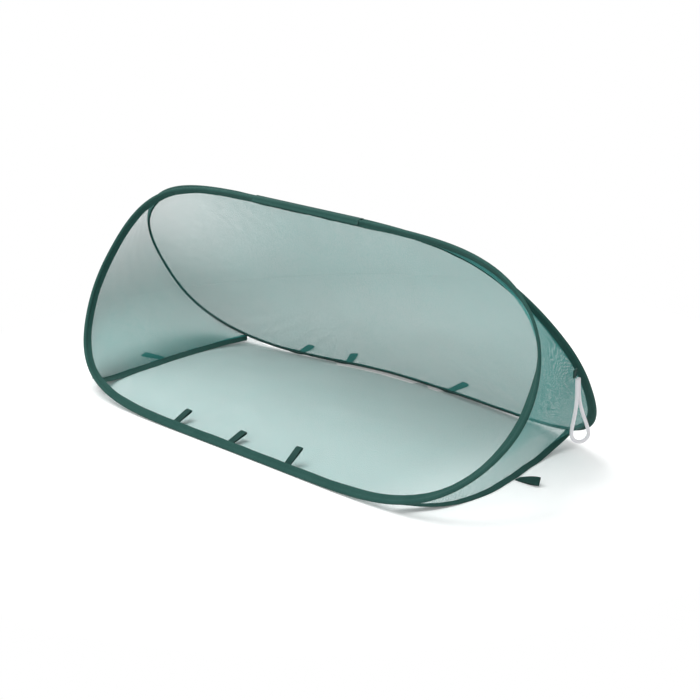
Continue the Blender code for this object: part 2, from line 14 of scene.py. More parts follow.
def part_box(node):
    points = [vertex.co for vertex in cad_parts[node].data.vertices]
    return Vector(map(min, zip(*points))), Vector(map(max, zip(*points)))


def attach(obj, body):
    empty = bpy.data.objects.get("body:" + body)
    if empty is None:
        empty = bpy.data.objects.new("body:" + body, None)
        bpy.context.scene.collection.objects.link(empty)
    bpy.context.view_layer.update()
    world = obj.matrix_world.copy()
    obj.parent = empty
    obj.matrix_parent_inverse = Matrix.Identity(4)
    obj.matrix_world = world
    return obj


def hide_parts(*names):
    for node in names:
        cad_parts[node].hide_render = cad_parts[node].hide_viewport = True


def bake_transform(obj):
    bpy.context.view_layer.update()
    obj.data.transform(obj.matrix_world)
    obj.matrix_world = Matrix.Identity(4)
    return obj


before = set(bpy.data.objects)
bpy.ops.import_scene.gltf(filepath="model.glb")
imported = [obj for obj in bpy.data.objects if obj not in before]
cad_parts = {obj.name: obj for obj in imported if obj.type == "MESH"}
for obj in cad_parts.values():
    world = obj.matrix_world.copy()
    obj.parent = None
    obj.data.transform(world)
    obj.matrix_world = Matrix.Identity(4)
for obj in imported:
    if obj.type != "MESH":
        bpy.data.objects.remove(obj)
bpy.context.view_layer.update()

# The camera: where it stands round its target, in degrees and metres
CAMERA_AZIMUTH = 45.5564
CAMERA_ELEVATION = 19.0597
CAMERA_ROLL = -1.66
CAMERA_DISTANCE = 2.7296
CAMERA_TARGET = (-0.0423, 0.0793, 0.0765)
CAMERA_LENS = 83.109
CAMERA_SENSOR = 36.0

# Light: how bright the world and the ground are, and where the ground fades to plain white.
# A lamp has its place, its size across and its watts.
WHITE = (1.0, 1.0, 1.0, 1.0)
WORLD_LIGHT = 0.74
GROUND_SIZE = 14.0
GROUND_LIT = 0.92
GROUND_GLOW = 0.12
GROUND_FADE = (0.50, 0.80)
KEY_LAMP = ((-0.6, -0.7, 2.9), 2.5, 74)
FILL_LAMP = ((1.0, -2.6, 1.6), 1.6, 12)
LAMP_TARGET = (0, 0, 0.1)

# The cover's sizes, as in the CAD
HOOP_LENGTH = 0.978
PANEL_SLOPE = 0.3965
FOOT_SPREAD = 0.381
CLEARANCE = 0.0003
CHANNEL_RADIUS = 0.00255
TAPE_THICKNESS = 0.00075
TAPE_RADIUS = CHANNEL_RADIUS + TAPE_THICKNESS
HALF_MESH = 0.00025
FLOOR_TAPE_WIDTH = 0.014
FLOOR_TAPE_THICKNESS = 0.001
RIDGE_TAPE_LENGTH = 0.24
RIDGE_TAPE_THICKNESS = 0.0007
RIDGE_TAPE_FLANK = 0.005
LOOP_LENGTH = 0.042
LOOP_WIDTH = 0.013
LOOP_SEWN_LENGTH = 0.009
LOOP_WEBBING = 0.00075
LOOP_SLOT = 0.0026
ELASTIC_DIAMETER = 0.0055
STORAGE_LOOP_HEIGHT = 0.172
STORAGE_LOOP_DROP = 0.102
STORAGE_LOOP_SPREAD = 0.026
STORAGE_LOOP_DRIFT = 0.012
STORAGE_LOOP_CLOSED = 0.22
STORAGE_LOOP_TWIST = 50.0
STORAGE_PATCH_SIZE = 0.012
STORAGE_PATCH_THICKNESS = 0.002
STORAGE_PATCH_INSET = 0.021
STORAGE_LOOP_STANDOFF = 0.0070
SEAM_GAP = 0.0014
RIDGE_GAP = TAPE_RADIUS + CLEARANCE / 2
LEAN = asin((FOOT_SPREAD / 2 - RIDGE_GAP) / PANEL_SLOPE)
LEAN_OUT, LEAN_UP = sin(LEAN), cos(LEAN)
RIDGE_WIRE_Z = TAPE_RADIUS + PANEL_SLOPE * LEAN_UP

# How each hoop's folded tape lies. Each row holds the share of the way round from the ridge's middle
# by -X, the turn of the two flaps from the hoop's panel towards the inside in degrees, the width from
# the fold to the flaps' edges and the radius of the fold, both in millimetres.
FRONT_LIE = (
    (0.0, 30, 11.1, 2.5), (0.052, 32, 11.0, 2.5), (0.06, 32, 10.9, 3.3), (0.12, 45, 10.5, 3.3),
    (0.16, 68, 13.5, 3.3), (0.21, 88, 14.5, 3.3), (0.28, 88, 14.5, 3.3), (0.32, 66, 14.5, 3.3),
    (0.37, 30, 14.5, 3.3), (0.45, 8, 14.8, 3.3), (0.6, 10, 14.5, 3.3), (0.64, 15, 14.0, 3.3),
    (0.68, 30, 14.0, 3.2), (0.7, 28, 14.0, 3.1), (0.735, 11, 14.0, 3.0), (0.75, 14, 14.0, 2.8),
    (0.775, 54, 14.0, 2.3), (0.81, 62, 13.5, 2.3), (0.835, 46, 11.5, 3.0), (0.87, 38, 11.0, 3.3),
    (0.94, 32, 10.9, 3.3), (0.948, 32, 11.0, 2.5), (1.0, 30, 11.1, 2.5),
)
REAR_LIE = (
    (0.0, 28, 11.0, 2.5), (0.052, 28, 11.0, 2.5), (0.06, 28, 11.0, 3.3), (0.15, 32, 12.0, 3.3),
    (0.18, 42, 13.5, 2.8), (0.208, 47, 13.5, 2.3), (0.243, 31, 13.5, 2.3), (0.3, 23, 13.5, 2.4),
    (0.38, 32, 14.0, 2.4), (0.45, 33, 14.0, 2.4), (0.56, 30, 14.0, 2.4), (0.64, 34, 14.0, 2.4),
    (0.67, 42, 14.0, 2.7), (0.7, 26, 14.0, 3.3), (0.75, 28, 14.0, 3.3), (0.78, 48, 14.0, 3.3),
    (0.81, 40, 13.0, 3.3), (0.85, 30, 11.0, 3.3), (0.94, 28, 11.0, 3.3), (0.948, 28, 11.0, 2.5),
    (1.0, 28, 11.0, 2.5),
)
LIE_EASE = 0.006
THICK_SPOT = 0.012
FIRST_FLAP_SHORTER = 0.001
PUCKER = 0.00045
TIP_WANDER = 0.0005
EDGE_ROUND = 0.0002

# The hoops. Each pair holds the values for the left and right halves.
FRONT = dict(
    side=-1, offset=0.0247, ends=(5.93, 4.71), tops=(1.2, 2.6), feet=(1.84, 1.66), foot_bow=-0.0078,
    bow_powers=(1.3, 1.0), end_bow=0.021, lie=FRONT_LIE,
)
REAR = dict(
    side=1, offset=-0.0213, ends=(3.8, 4.85), tops=(1.8, 1.2), feet=(4.0, 3.74), foot_bow=0.046,
    bow_powers=(5.5, 1.3), end_bow=0.004, lie=REAR_LIE,
)

# The tapes along the floor's ends. The widths shown lie inwards and outwards of the tape's own line,
# and the end netting is sewn on outwards of it.
LEFT_TAPE = dict(
    end=-1, front_x=-0.361, rear_x=-0.370, bulge=0.0525, skew=0.10, power=4, loop_at=0.55,
    shown=(0.015, 0.009), sewn_at=0.0075,
)
RIGHT_TAPE = dict(
    end=1, front_x=0.342, rear_x=0.3825, bulge=0.0565, skew=1.50, power=2, loop_at=0.57,
    shown=(0.008, 0.006), sewn_at=-0.0065,
)
LANDING = 0.28

# How finely the hoops are cut
FINE_STATIONS = 2880
TAPE_STATIONS = 720
PANEL_STATIONS = 360

# Netting: how far it is tucked under the tape, and how it runs into place
FOLD_TUCK = 0.0004
NETTING_TUCK = 0.0026
ARC_EASE = 0.1
PANEL_RUN_OUT = 0.03
END_TOP_RISE = 0.972
RELAX_ROUNDS = 2500
RELAXED_BELOW = 0.4
FLOOR_LIFT = HALF_MESH + CLEARANCE
FLOOR_UNDER_TAPE = FLOOR_TAPE_WIDTH / 2 - 0.002
FLOOR_CORNER = 26
FLOOR_SHORT = (0.0010, 0.0019)
THIN_FOLD = (0.0024, 0.0009)
FLOOR_RISE = (0.93, 0.07)
FLOOR_OVER_FOLD = 0.0008
FLOOR_RIPPLE = 0.00025
END_RIPPLE = 0.0022
PANEL_DRAWN = 0.0008
PANEL_BELLY = 0.004
REAR_TUCK = 0.0025

# Stretches of the rear foot where the floor stops short of the hoop: from X, to X and how far short
BARE_STRETCHES = ((-0.345, -0.300, 0.006), (-0.170, 0.020, 0.015), (0.032, 0.080, 0.013))
BARE_EASE = 0.012

# How open the netting's squares are, which sets how light or dark the netting shows. A pair says where a
# change starts and how far it runs. The squares are opened towards the upper left corner as painted light,
# made denser low down as painted shade, and made a little denser towards the right. The right end's foot and
# the floor's right end are opened wide. The whole floor is opened more than the walls, as painted light
# against the shade on the ground under it. It is shut again as painted shade where it rises by the rear hoop,
# right of the middle.
LIT_CORNER_LEFT = (0.02, 0.38)
LIT_CORNER_HIGH = (0.10, 0.20)
LIT_CORNER_MOST = 0.75
SHADE_BELOW = 0.36
SHADE_LOW_DENSITY = 0.62
DENSER_FROM = (0.1, 0.3)
DENSE_RIGHT = 0.12
DENSE_MOST = 0.68
END_FOOT = (0.20, 0.11)
FLOOR_OPEN = 0.76
FLOOR_OPENER = (0.25, 0.12)
FLOOR_SHADE_LEVEL = 0.32
SHADE_RISE_FROM = ((0.05, 0.05), (0.06, 0.04), (0.0016, 0.003))
NET_PITCH = 0.0018
HALF_THREAD = (0.288, 0.085)

# Sewing
STITCH_PITCH = 0.0032
STITCH_LENGTH = 0.0026
STITCH_WIDTH = 0.0005
STITCH_HEIGHT = 0.0003
STITCH_MARGIN = 0.0017
STITCH_SHARES = ((0.12, 1), (0.80, 1), (0.80, -1))
TACK_PLACES = (0.0022, 0.0068)
TACK_REACH = 0.42
TACK_SLANT = 0.18
FLOOR_TAPE_CURL = 0.0006
RIDGE_FOLD = 0.0025
LOOP_ROOT = LOOP_WEBBING + 0.0001
ROOT_GAP = 0.0006

# Stake loops: the place along X or the floor tape, and in degrees the turn from straight back, the tilt
# and the twist
STAKE_LOOPS = {
    "front_stake_loop_left": (-0.147, 0.0, 21.0, 0.0),
    "front_stake_loop_middle": (-0.015, 0.0, 16.0, 0.0),
    "front_stake_loop_right": (0.120, 0.0, 36.0, 0.0),
    "rear_stake_loop_left": (-0.255, 0.0, 2.5, 0.0),
    "rear_stake_loop_middle": (-0.150, 20.0, 2.5, 0.0),
    "rear_stake_loop_right": (0.082, 0.0, 2.5, 0.0),
    "left_stake_loop": (LEFT_TAPE, 106.0, 2.5, 0.0),
    "right_stake_loop": (RIGHT_TAPE, -90.0, 10.0, -60.0),
}

# Colours
TAPE_GREEN = (0.016, 0.074, 0.062)
WEBBING_GREEN = (0.010, 0.050, 0.042)
WORN_GREEN = (0.06, 0.14, 0.12)
THREAD_GREEN = (0.034, 0.105, 0.092)
NET_GREEN = (0.055, 0.285, 0.262)
ELASTIC_WHITE = (0.86, 0.85, 0.88)

# Every point is made about the ridge and then moved to where the frame has it
ridge_low, ridge_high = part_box("ridge_seam_tape")
SHIFT = np.array([(ridge_low.x + ridge_high.x) / 2, (ridge_low.y + ridge_high.y) / 2, 0.0])


def link(obj):
    bpy.context.scene.collection.objects.link(obj)
    return obj


def unit(vectors):
    vectors = np.asarray(vectors, float)
    return vectors / np.linalg.norm(vectors, axis=-1, keepdims=True)


def past(value, start, run):
    """How far value is past start, from 0 to 1 over the run."""
    return np.clip((value - start) / run, 0, 1)


def eased(share):
    return share * share * (3 - 2 * share)


def running(points):
    """How far along an open line each of its points is."""
    return np.concatenate([[0], np.cumsum(np.linalg.norm(np.diff(points, axis=0), axis=1))])


def between(wanted, known, points):
    """Points of a line at the wanted values, where its own points lie at the known ones."""
    return np.stack([np.interp(wanted, known, column) for column in points.T], axis=-1)


def grid_steps(grid, axis):
    return np.linalg.norm(np.diff(grid, axis=axis), axis=2)


def smoothed(line, kernel):
    """A closed line of values, each averaged with its neighbours."""
    half = len(kernel) // 2
    return np.convolve(np.concatenate([line[-half:], line, line[:half]]), kernel, "valid")


def add_camera():
    azimuth, elevation, roll = (radians(a) for a in (CAMERA_AZIMUTH, CAMERA_ELEVATION, CAMERA_ROLL))
    flat = cos(elevation)
    back = Vector((sin(azimuth) * flat, -cos(azimuth) * flat, sin(elevation)))
    level = (-back).cross(Vector((0, 0, 1))).normalized()
    upright = level.cross(-back)
    right = level * cos(roll) + upright * sin(roll)
    up = upright * cos(roll) - level * sin(roll)
    data = bpy.data.cameras.new("camera")
    data.lens = CAMERA_LENS
    data.sensor_width = CAMERA_SENSOR
    camera = link(bpy.data.objects.new("camera", data))
    turn = Matrix((right, up, back)).transposed().to_4x4()
    turn.translation = Vector(CAMERA_TARGET) + back * CAMERA_DISTANCE
    camera.matrix_world = turn
    bpy.context.scene.camera = camera


# Shapes of the hoops, by the same rules as the CAD


def surface(hoop, along, rise):
    """A point of the hoop's panel: along is -1 to 1 across X, rise is 0 at the foot and 1 at the ridge."""
    along, rise = np.asarray(along, float), np.asarray(rise, float)
    bow_power = np.where(along < 0, *hoop["bow_powers"])
    foot_bow = hoop["foot_bow"] * np.clip(1 - along**2, 0, None) ** bow_power * (1 - rise)
    drawn_in = hoop["end_bow"] * along**4 * (1 - (2 * rise - 1) ** 2)
    x = hoop["offset"] + along * HOOP_LENGTH / 2
    out = RIDGE_GAP + PANEL_SLOPE * LEAN_OUT * (1 - rise) + foot_bow - LEAN_UP * drawn_in
    z = TAPE_RADIUS + PANEL_SLOPE * LEAN_UP * rise - LEAN_OUT * drawn_in
    return np.stack([x, hoop["side"] * out, z], axis=-1) + SHIFT


def surface_normal(hoop, along, rise):
    """Outward from the inside of the cover."""
    step = 1e-4
    across = surface(hoop, along + step, rise) - surface(hoop, along - step, rise)
    up = surface(hoop, along, rise + step) - surface(hoop, along, rise - step)
    normal = unit(np.cross(across, up))
    return normal * np.sign(normal[..., 1:2] * hoop["side"])


def even(hoop, loop, count):
    """The closed loop again, with count points an equal way apart."""
    closed = np.vstack([loop, loop[:1]])
    length = running(surface(hoop, closed[:, 0], closed[:, 1]))
    return between(np.linspace(0, length[-1], count, endpoint=False), length, closed)


def outline(hoop):
    """The wire's line in panel coordinates, from the ridge's middle round by -X and back."""
    turn = pi / 2 + np.linspace(0, 2 * pi, FINE_STATIONS, endpoint=False)
    cosine, sine = np.cos(turn), np.sin(turn)
    end_power, top_power, foot_power = (
        left + (right - left) * (cosine + 1) / 2 for left, right in (hoop["ends"], hoop["tops"], hoop["feet"])
    )
    power = np.where(sine >= 0, top_power, foot_power)
    along = np.sign(cosine) * np.abs(cosine) ** (2 / end_power)
    rise = (1 + np.sign(sine) * np.abs(sine) ** (2 / power)) / 2
    loop = even(hoop, np.stack([along, rise], axis=1), FINE_STATIONS)
    width = 2 * (FINE_STATIONS // 60) + 1
    return np.stack([smoothed(column, np.ones(width) / width) for column in loop.T], axis=1)


class Frames:
    """Points on a hoop's wire, with the directions out from the hoop and off its panel."""

    def __init__(self, hoop, loop):
        self.loop = loop
        self.points = surface(hoop, loop[:, 0], loop[:, 1])
        self.tangent = tangent = unit(np.roll(self.points, -1, axis=0) - np.roll(self.points, 1, axis=0))
        normal = surface_normal(hoop, loop[:, 0], loop[:, 1])
        self.normal = unit(normal - tangent * np.sum(normal * tangent, axis=1, keepdims=True))
        radial = np.cross(tangent, self.normal)
        outwards = self.points - self.points.mean(axis=0)
        self.radial = radial * np.sign(np.sum(radial * outwards, axis=1, keepdims=True))

    def offset(self, radial, normal):
        radial, normal = np.asarray(radial, float), np.asarray(normal, float)
        return self.points + self.radial * radial[..., None] + self.normal * normal[..., None]

    def lengths(self):
        """How far along the wire each point is, and then the whole way round."""
        return running(np.vstack([self.points, self.points[:1]]))


class Lie:
    """How a hoop's tape lies at each station: the flaps' turn and reach, and the fold's radius."""

    def __init__(self, hoop, frames, thick):
        count = len(frames.points)
        places, *columns = np.array(hoop["lie"]).T
        half = max(1, int(count * LIE_EASE))
        kernel = np.hanning(2 * half + 3)[1:-1]
        kernel = kernel / kernel.sum()
        turn, width, fold = (
            smoothed(np.interp(np.arange(count) / count, places, column), kernel) for column in columns
        )
        self.turn, self.fold = np.radians(turn), fold / 1000
        for place, reach in thick:
            away = np.linalg.norm(frames.points - place, axis=1)
            share = eased(np.clip(1 - (away - reach) / THICK_SPOT, 0, 1))
            self.fold = np.maximum(self.fold, self.fold + (TAPE_RADIUS - self.fold) * share)
        self.reach = width / 1000 - self.fold

    def turned(self, radial, normal):
        """A place in the tape's section, turned with the flaps."""
        cosine, sine = np.cos(self.turn), np.sin(self.turn)
        return radial * cosine - normal * sine, radial * sine + normal * cosine


def thick_places(side):
    """Where a hoop's tape is full: over its sleeve, and where stake loops are sewn to its foot."""
    label = "front" if side < 0 else "rear"
    low, high = np.array(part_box(f"{label}_hoop_sleeve"))
    places = [((low + high) / 2, np.linalg.norm(high - low) / 2)]
    for where in ("left", "middle", "right"):
        low, high = np.array(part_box(f"{label}_stake_loop_{where}"))
        root_y = low[1] if label == "rear" else low[1] - TAPE_RADIUS
        places.append((np.array([(low[0] + high[0]) / 2, root_y, TAPE_RADIUS]), LOOP_WIDTH / 2))
    return places


class HoopLine:
    """A hoop's fine outline, to look points up by X along its foot or by share of an arc."""

    def __init__(self, hoop):
        self.frames = Frames(hoop, outline(hoop))
        self.thick = thick_places(hoop["side"])
        self.lie = Lie(hoop, self.frames, self.thick)
        foot = np.flatnonzero(self.frames.loop[:, 1] < 0.5)
        self.order = foot[np.argsort(self.frames.points[foot, 0])]
        self.foot_x = self.frames.points[self.order, 0]

    def at_foot(self, x, normal=0.0):
        """The wire's point above x on the hoop's lower half, or one offset from it."""
        return between(x, self.foot_x, self.frames.offset(0.0, normal)[self.order])

    def flap_edge(self, inside):
        """The flaps' edges, where netting comes out, or the fold's inner side where inside is 0."""
        radial, normal = self.lie.turned(NETTING_TUCK - self.lie.reach, 0.0)
        fold = (self.lie.fold - FOLD_TUCK) * (1 - inside)
        return self.frames.offset(radial * inside, normal * inside - fold)

    def arc_points(self, end, foot_x, top_rise, count):
        """Points on the flaps' edges up one end's arc, from the fold above foot_x to the rise top_rise."""
        points, rise = self.frames.points, self.frames.loop[:, 1]
        here = np.flatnonzero((points[:, 0] * end > 0) & (rise < top_rise))
        here = here[(points[here, 0] * end > foot_x * end) | (rise[here] > 0.5)]
        here = here[np.argsort(rise[here])]
        places = self.flap_edge(eased(past(rise, rise[here[0]], ARC_EASE)))[here]
        return between(np.linspace(0, len(here) - 1, count), np.arange(len(here)), places)


# Meshes made from grids of points


def arc(radius, start, end, count):
    return [(radius * cos(a), radius * sin(a)) for a in np.radians(np.linspace(start, end, count))]


def outward(mesh):
    """Turns the faces out if the closed mesh is inside out."""
    mesh.calc_loop_triangles()
    corners = np.array([mesh.vertices[v].co for t in mesh.loop_triangles for v in t.vertices])
    corners = corners.reshape(-1, 3, 3)
    volume = np.einsum("ij,ij->i", corners[:, 0], np.cross(corners[:, 1], corners[:, 2])).sum()
    if volume < 0:
        mesh.flip_normals()


def add_mesh(name, points, faces, uv, finish, closed, data):
    """A smooth mesh with a cloth map by face corner and values by point."""
    mesh = bpy.data.meshes.new(name)
    mesh.from_pydata(points.tolist(), [], faces)
    mesh.uv_layers.new(name="cloth").data.foreach_set("uv", uv.astype(np.float32).ravel())
    for key, values in data.items():
        attribute = mesh.attributes.new(key, "FLOAT", "POINT")
        attribute.data.foreach_set("value", np.asarray(values, np.float32).ravel())
    if closed:
        outward(mesh)
    mesh.shade_smooth()
    mesh.materials.append(finish)
    mesh.update()
    return link(bpy.data.objects.new(name, mesh))


def skin(name, grid, finish, form="sheet", maps=(None, None), **data):
    """A mesh through a grid of points, mapped in metres along its rows and across its columns.

    A band wraps its columns, a ring its rows too, and a solid is a band with closed ends.
    """
    rows, columns = grid.shape[:2]
    wrapped = form != "sheet"
    reach = (rows if form == "ring" else rows - 1, columns if wrapped else columns - 1)
    i, j = (a.ravel()[:, None] for a in np.indices(reach))
    i, j = i + [0, 1, 1, 0], j + [0, 0, 1, 1]
    faces = ((i % rows) * columns + j % columns).tolist()
    along, across = maps
    if along is None:
        along = np.concatenate([[0], np.cumsum(grid_steps(grid, 0).mean(axis=1))])
    if across is None:
        closed = np.concatenate([grid, grid[:, :1]], axis=1) if wrapped else grid
        across = np.concatenate([[0], np.cumsum(grid_steps(closed, 1).mean(axis=0))])
    if along.ndim == 1:
        along, across = np.meshgrid(along, across, indexing="ij")
    i, j = i.ravel(), j.ravel()
    if form == "solid":
        first = np.arange(columns)
        faces += [first[::-1].tolist(), (first + (rows - 1) * columns).tolist()]
        i = np.concatenate([i, first * 0, first * 0 + rows - 1])
        j = np.concatenate([j, first[::-1], first])
    uv = np.stack([along[i, j], across[i, j]], axis=-1)
    return add_mesh(name, grid.reshape(-1, 3), faces, uv, finish, form in ("ring", "solid"), data)


def smooth_noise(count, length, wave, seed, closed=True):
    """A smooth random line of values between about -1 and 1, whose bumps are about wave long."""
    rng = np.random.default_rng(seed)
    waves = np.arange(1, max(3, int(length / wave * 1.6)))
    size = np.exp(-(((waves - length / wave) / (0.45 * length / wave)) ** 2))
    phase = rng.uniform(0, 2 * pi, len(waves))
    place = np.linspace(0, 2 * pi, count, endpoint=not closed)
    line = (size[:, None] * np.sin(waves[:, None] * place[None] + phase[:, None])).sum(axis=0)
    return line / (np.abs(line).max() + 1e-9)


# Materials


class Graph:
    """Node shading, added by short calls. A socket or a plain value may be given as any input."""

    def __init__(self, name, store="materials", output="OutputMaterial"):
        self.owner = getattr(bpy.data, store).new(name)
        self.owner.use_nodes = True
        self.tree = self.owner.node_tree
        self.tree.nodes.clear()
        self.output = self.tree.nodes.new("ShaderNode" + output)

    def add(self, kind, settings=None, **inputs):
        """A node. An input is named with _ for a space, or by its number after an i."""
        node = self.tree.nodes.new("ShaderNode" + kind)
        for key, value in (settings or {}).items():
            setattr(node, key, value)
        for key, value in inputs.items():
            numbered = key[0] == "i" and key[1:].isdigit()
            socket = node.inputs[int(key[1:]) if numbered else key.replace("_", " ")]
            if isinstance(value, bpy.types.NodeSocket):
                self.tree.links.new(value, socket)
            else:
                socket.default_value = value
        return node

    def math(self, operation, *values):
        values = {f"i{n}": value for n, value in enumerate(values)}
        return self.add("Math", {"operation": operation}, **values).outputs[0]

    def wave(self, value, period):
        return self.math("SINE", self.math("MULTIPLY", value, 2 * pi / period))

    def mix(self, share, *colours):
        first, second = (c if isinstance(c, bpy.types.NodeSocket) else (*c, 1.0) for c in colours)
        return self.add("Mix", {"data_type": "RGBA"}, i0=share, i6=first, i7=second).outputs[2]

    def ramp(self, value, low, high, start=0.0, end=1.0):
        ends = {"From_Min": low, "From_Max": high, "To_Min": start, "To_Max": end}
        return self.add("MapRange", Value=value, **ends).outputs[0]

    def noise(self, scale, detail=3.0, vector=None):
        if vector is None:
            vector = self.add("TexCoord").outputs["Object"]
        return self.add("TexNoise", Vector=vector, Scale=scale, Detail=detail).outputs["Fac"]

    def cloth(self):
        """The two directions of the cloth's own map, in metres."""
        place = self.add("UVMap", {"uv_map": "cloth"}).outputs[0]
        return self.add("SeparateXYZ", Vector=place).outputs[:2]

    def share(self, name):
        """A value that the mesh carries point by point."""
        return self.add("Attribute", {"attribute_name": name}).outputs["Fac"]

    def bump(self, height, strength, distance):
        return self.add("Bump", Height=height, Strength=strength, Distance=distance).outputs[0]

    def done(self, shader):
        self.tree.links.new(shader.outputs[0], self.output.inputs[0])
        return self.owner

    def coat(self, colour, rough, **more):
        return self.done(self.add("BsdfPrincipled", Base_Color=colour, Roughness=rough, **more))


def shade(colour, share, lift=0.0):
    return tuple(min(1.0, c * share + lift) for c in colour)


def woven(name, colour, rib, yarn, relief, wear=0.35):
    """Narrow woven tape: ribs across it, yarns along it, cloudy dye, and edges rubbed pale."""
    g = Graph(name)
    along, across = g.cloth()
    ribs = g.math("MULTIPLY_ADD", g.wave(along, rib), 0.5, 0.5)
    weave = g.math("MULTIPLY", ribs, g.math("MULTIPLY_ADD", g.wave(across, yarn), 0.3, 0.7))
    cloudy, fuzz = g.noise(28.0, 4.0), g.noise(900.0, 2.0)
    base = g.mix(g.ramp(weave, 0.0, 1.0, 0.15, 0.62), shade(colour, 0.62), shade(colour, 1.5, 0.004))
    tinted = g.mix(g.ramp(cloudy, 0.3, 0.75), base, shade(colour, 0.8))
    rubbed = g.math("MULTIPLY", g.share("edge"), g.ramp(g.noise(240.0), 0.35, 0.7))
    shown = g.mix(g.math("MULTIPLY", rubbed, wear), tinted, WORN_GREEN)
    height = g.math("ADD", weave, g.math("MULTIPLY", fuzz, 0.5))
    rough = g.ramp(g.math("ADD", fuzz, cloudy), 0.6, 1.4, 0.68, 0.9)
    fibres = {"Normal": g.bump(height, 0.55, relief), "Sheen_Weight": 0.03, "Sheen_Roughness": 0.45}
    return g.coat(shown, rough, Specular_IOR_Level=0.2, **fibres)


def netting(name, colour):
    """Fine netting: threads both ways with open squares between them."""
    g = Graph(name)
    along, across = g.cloth()
    sway = g.math("MULTIPLY_ADD", g.noise(22.0, 2.0), 0.004, -0.002)
    # The open value sets the threads' width. Much of it is painted light and painted shade laid on the
    # sheets.
    half = g.ramp(g.share("open"), -0.7, 1.0, *HALF_THREAD)
    covers, rounds = [], []
    for direction in (g.math("ADD", along, sway), g.math("SUBTRACT", across, sway)):
        place = g.math("FRACT", g.math("DIVIDE", direction, NET_PITCH))
        away = g.math("ABSOLUTE", g.math("SUBTRACT", place, 0.5))
        covers.append(g.ramp(away, g.math("SUBTRACT", half, 0.04), g.math("ADD", half, 0.04), 1.0, 0.0))
        rounds.append(g.math("SUBTRACT", 0.25, away))
    cloudy, grain = g.noise(14.0, 4.0), g.noise(420.0, 2.0)
    base = g.mix(g.ramp(cloudy, 0.3, 0.7), shade(colour, 0.92), shade(colour, 1.08))
    shown = g.mix(g.ramp(grain, 0.35, 0.65, 0.0, 0.5), base, shade(colour, 0.8))
    cover, normal = g.math("MAXIMUM", *covers), g.bump(g.math("MAXIMUM", *rounds), 0.6, 0.0003)
    rough = g.ramp(grain, 0.3, 0.7, 0.55, 0.7)
    return g.coat(shown, rough, Alpha=cover, Normal=normal, Specular_IOR_Level=0.15)


def metal(name, colour, roughness):
    g = Graph(name)
    place = g.add("TexCoord").outputs["Object"]
    drawn = g.noise(1.0, 3.0, g.add("Mapping", Vector=place, Scale=(40.0, 900.0, 900.0)).outputs[0])
    rough = g.ramp(drawn, 0.3, 0.7, roughness - 0.08, roughness + 0.1)
    return g.coat(g.mix(drawn, shade(colour, 0.8), colour), rough, Metallic=1.0)


def elastic(name, colour, picks, strands, radius):
    """Braided cover of a round elastic: two sets of bundles that cross on the slant."""
    g = Graph(name)
    along, across = g.cloth()
    turn = g.math("DIVIDE", across, 2 * pi * radius / strands)
    length = g.math("DIVIDE", along, picks)
    braid = g.math("MAXIMUM", *(g.wave(g.math(way, length, turn), 1.0) for way in ("ADD", "SUBTRACT")))
    fuzz = g.noise(1500.0, 2.0)
    shown = g.mix(g.ramp(braid, -0.2, 0.9), shade(colour, 0.8), colour)
    normal = g.bump(g.math("MULTIPLY_ADD", fuzz, 0.4, braid), 0.7, 0.0003)
    return g.coat(shown, g.ramp(fuzz, 0.3, 0.7, 0.6, 0.8), Normal=normal)


def ground_material():
    """White ground that still takes the cover's shadow."""
    g = Graph("ground")
    path = g.add("LightPath")
    seen = g.math("MAXIMUM", path.outputs["Is Camera Ray"], path.outputs["Is Glossy Ray"])
    seen = g.math("MAXIMUM", seen, path.outputs["Is Transmission Ray"])
    speckle = g.noise(60.0)
    plain = g.add("BsdfDiffuse", Color=g.mix(speckle, (0.80, 0.80, 0.80), (0.82, 0.82, 0.82)))
    lit = g.add("BsdfDiffuse", Color=g.mix(speckle, (GROUND_LIT,) * 3, (GROUND_LIT * 1.02,) * 3))
    glow, bright = (g.add("Emission", Color=WHITE, Strength=s).outputs[0] for s in (GROUND_GLOW, 1.0))
    near = g.add("AddShader", i0=lit.outputs[0], i1=glow)
    place = g.add("VectorMath", {"operation": "LENGTH"}, i0=g.add("TexCoord").outputs["Object"])
    far = g.ramp(place.outputs["Value"], *GROUND_FADE)
    shown = g.add("MixShader", i0=far, i1=near.outputs[0], i2=bright)
    return g.done(g.add("MixShader", i0=seen, i1=plain.outputs[0], i2=shown.outputs[0]))


tape_finish = woven("woven_tape", TAPE_GREEN, rib=0.0011, yarn=0.0007, relief=0.0002)
webbing_finish = woven("woven_webbing", WEBBING_GREEN, rib=0.0016, yarn=0.0009, relief=0.0003)
thread_finish = woven("sewing_thread", THREAD_GREEN, rib=0.0004, yarn=0.0003, relief=0.0001, wear=0.0)
net_finish = netting("fine_netting", NET_GREEN)
steel_finish = metal("spring_steel", (0.35, 0.36, 0.37), 0.35)
sleeve_finish = metal("crimped_sleeve", (0.60, 0.61, 0.62), 0.30)
elastic_finish = elastic("braided_elastic", ELASTIC_WHITE, 0.0032, 8, ELASTIC_DIAMETER / 2)

add_camera()
lines = {-1: HoopLine(FRONT), 1: HoopLine(REAR)}

# The storage loop: a free cord from its patch and back, on the right end's outer face by the rear tape


def at_storage_height(line):
    points = line.frames.points
    right = np.flatnonzero((points[:, 0] > 0) & (line.frames.loop[:, 1] < 0.9))
    return points[right[np.argmin(np.abs(points[right, 2] - STORAGE_LOOP_HEIGHT))]]


seam_rear, seam_front = at_storage_height(lines[1]), at_storage_height(lines[-1])
seam_along = unit(seam_front - seam_rear)
seam_out = unit(np.cross(seam_along, [0, 0, 1.0]))
seam_out = seam_out * np.sign(seam_out[0])
patch_place = seam_rear + seam_along * (STORAGE_PATCH_INSET + STORAGE_PATCH_SIZE / 2)


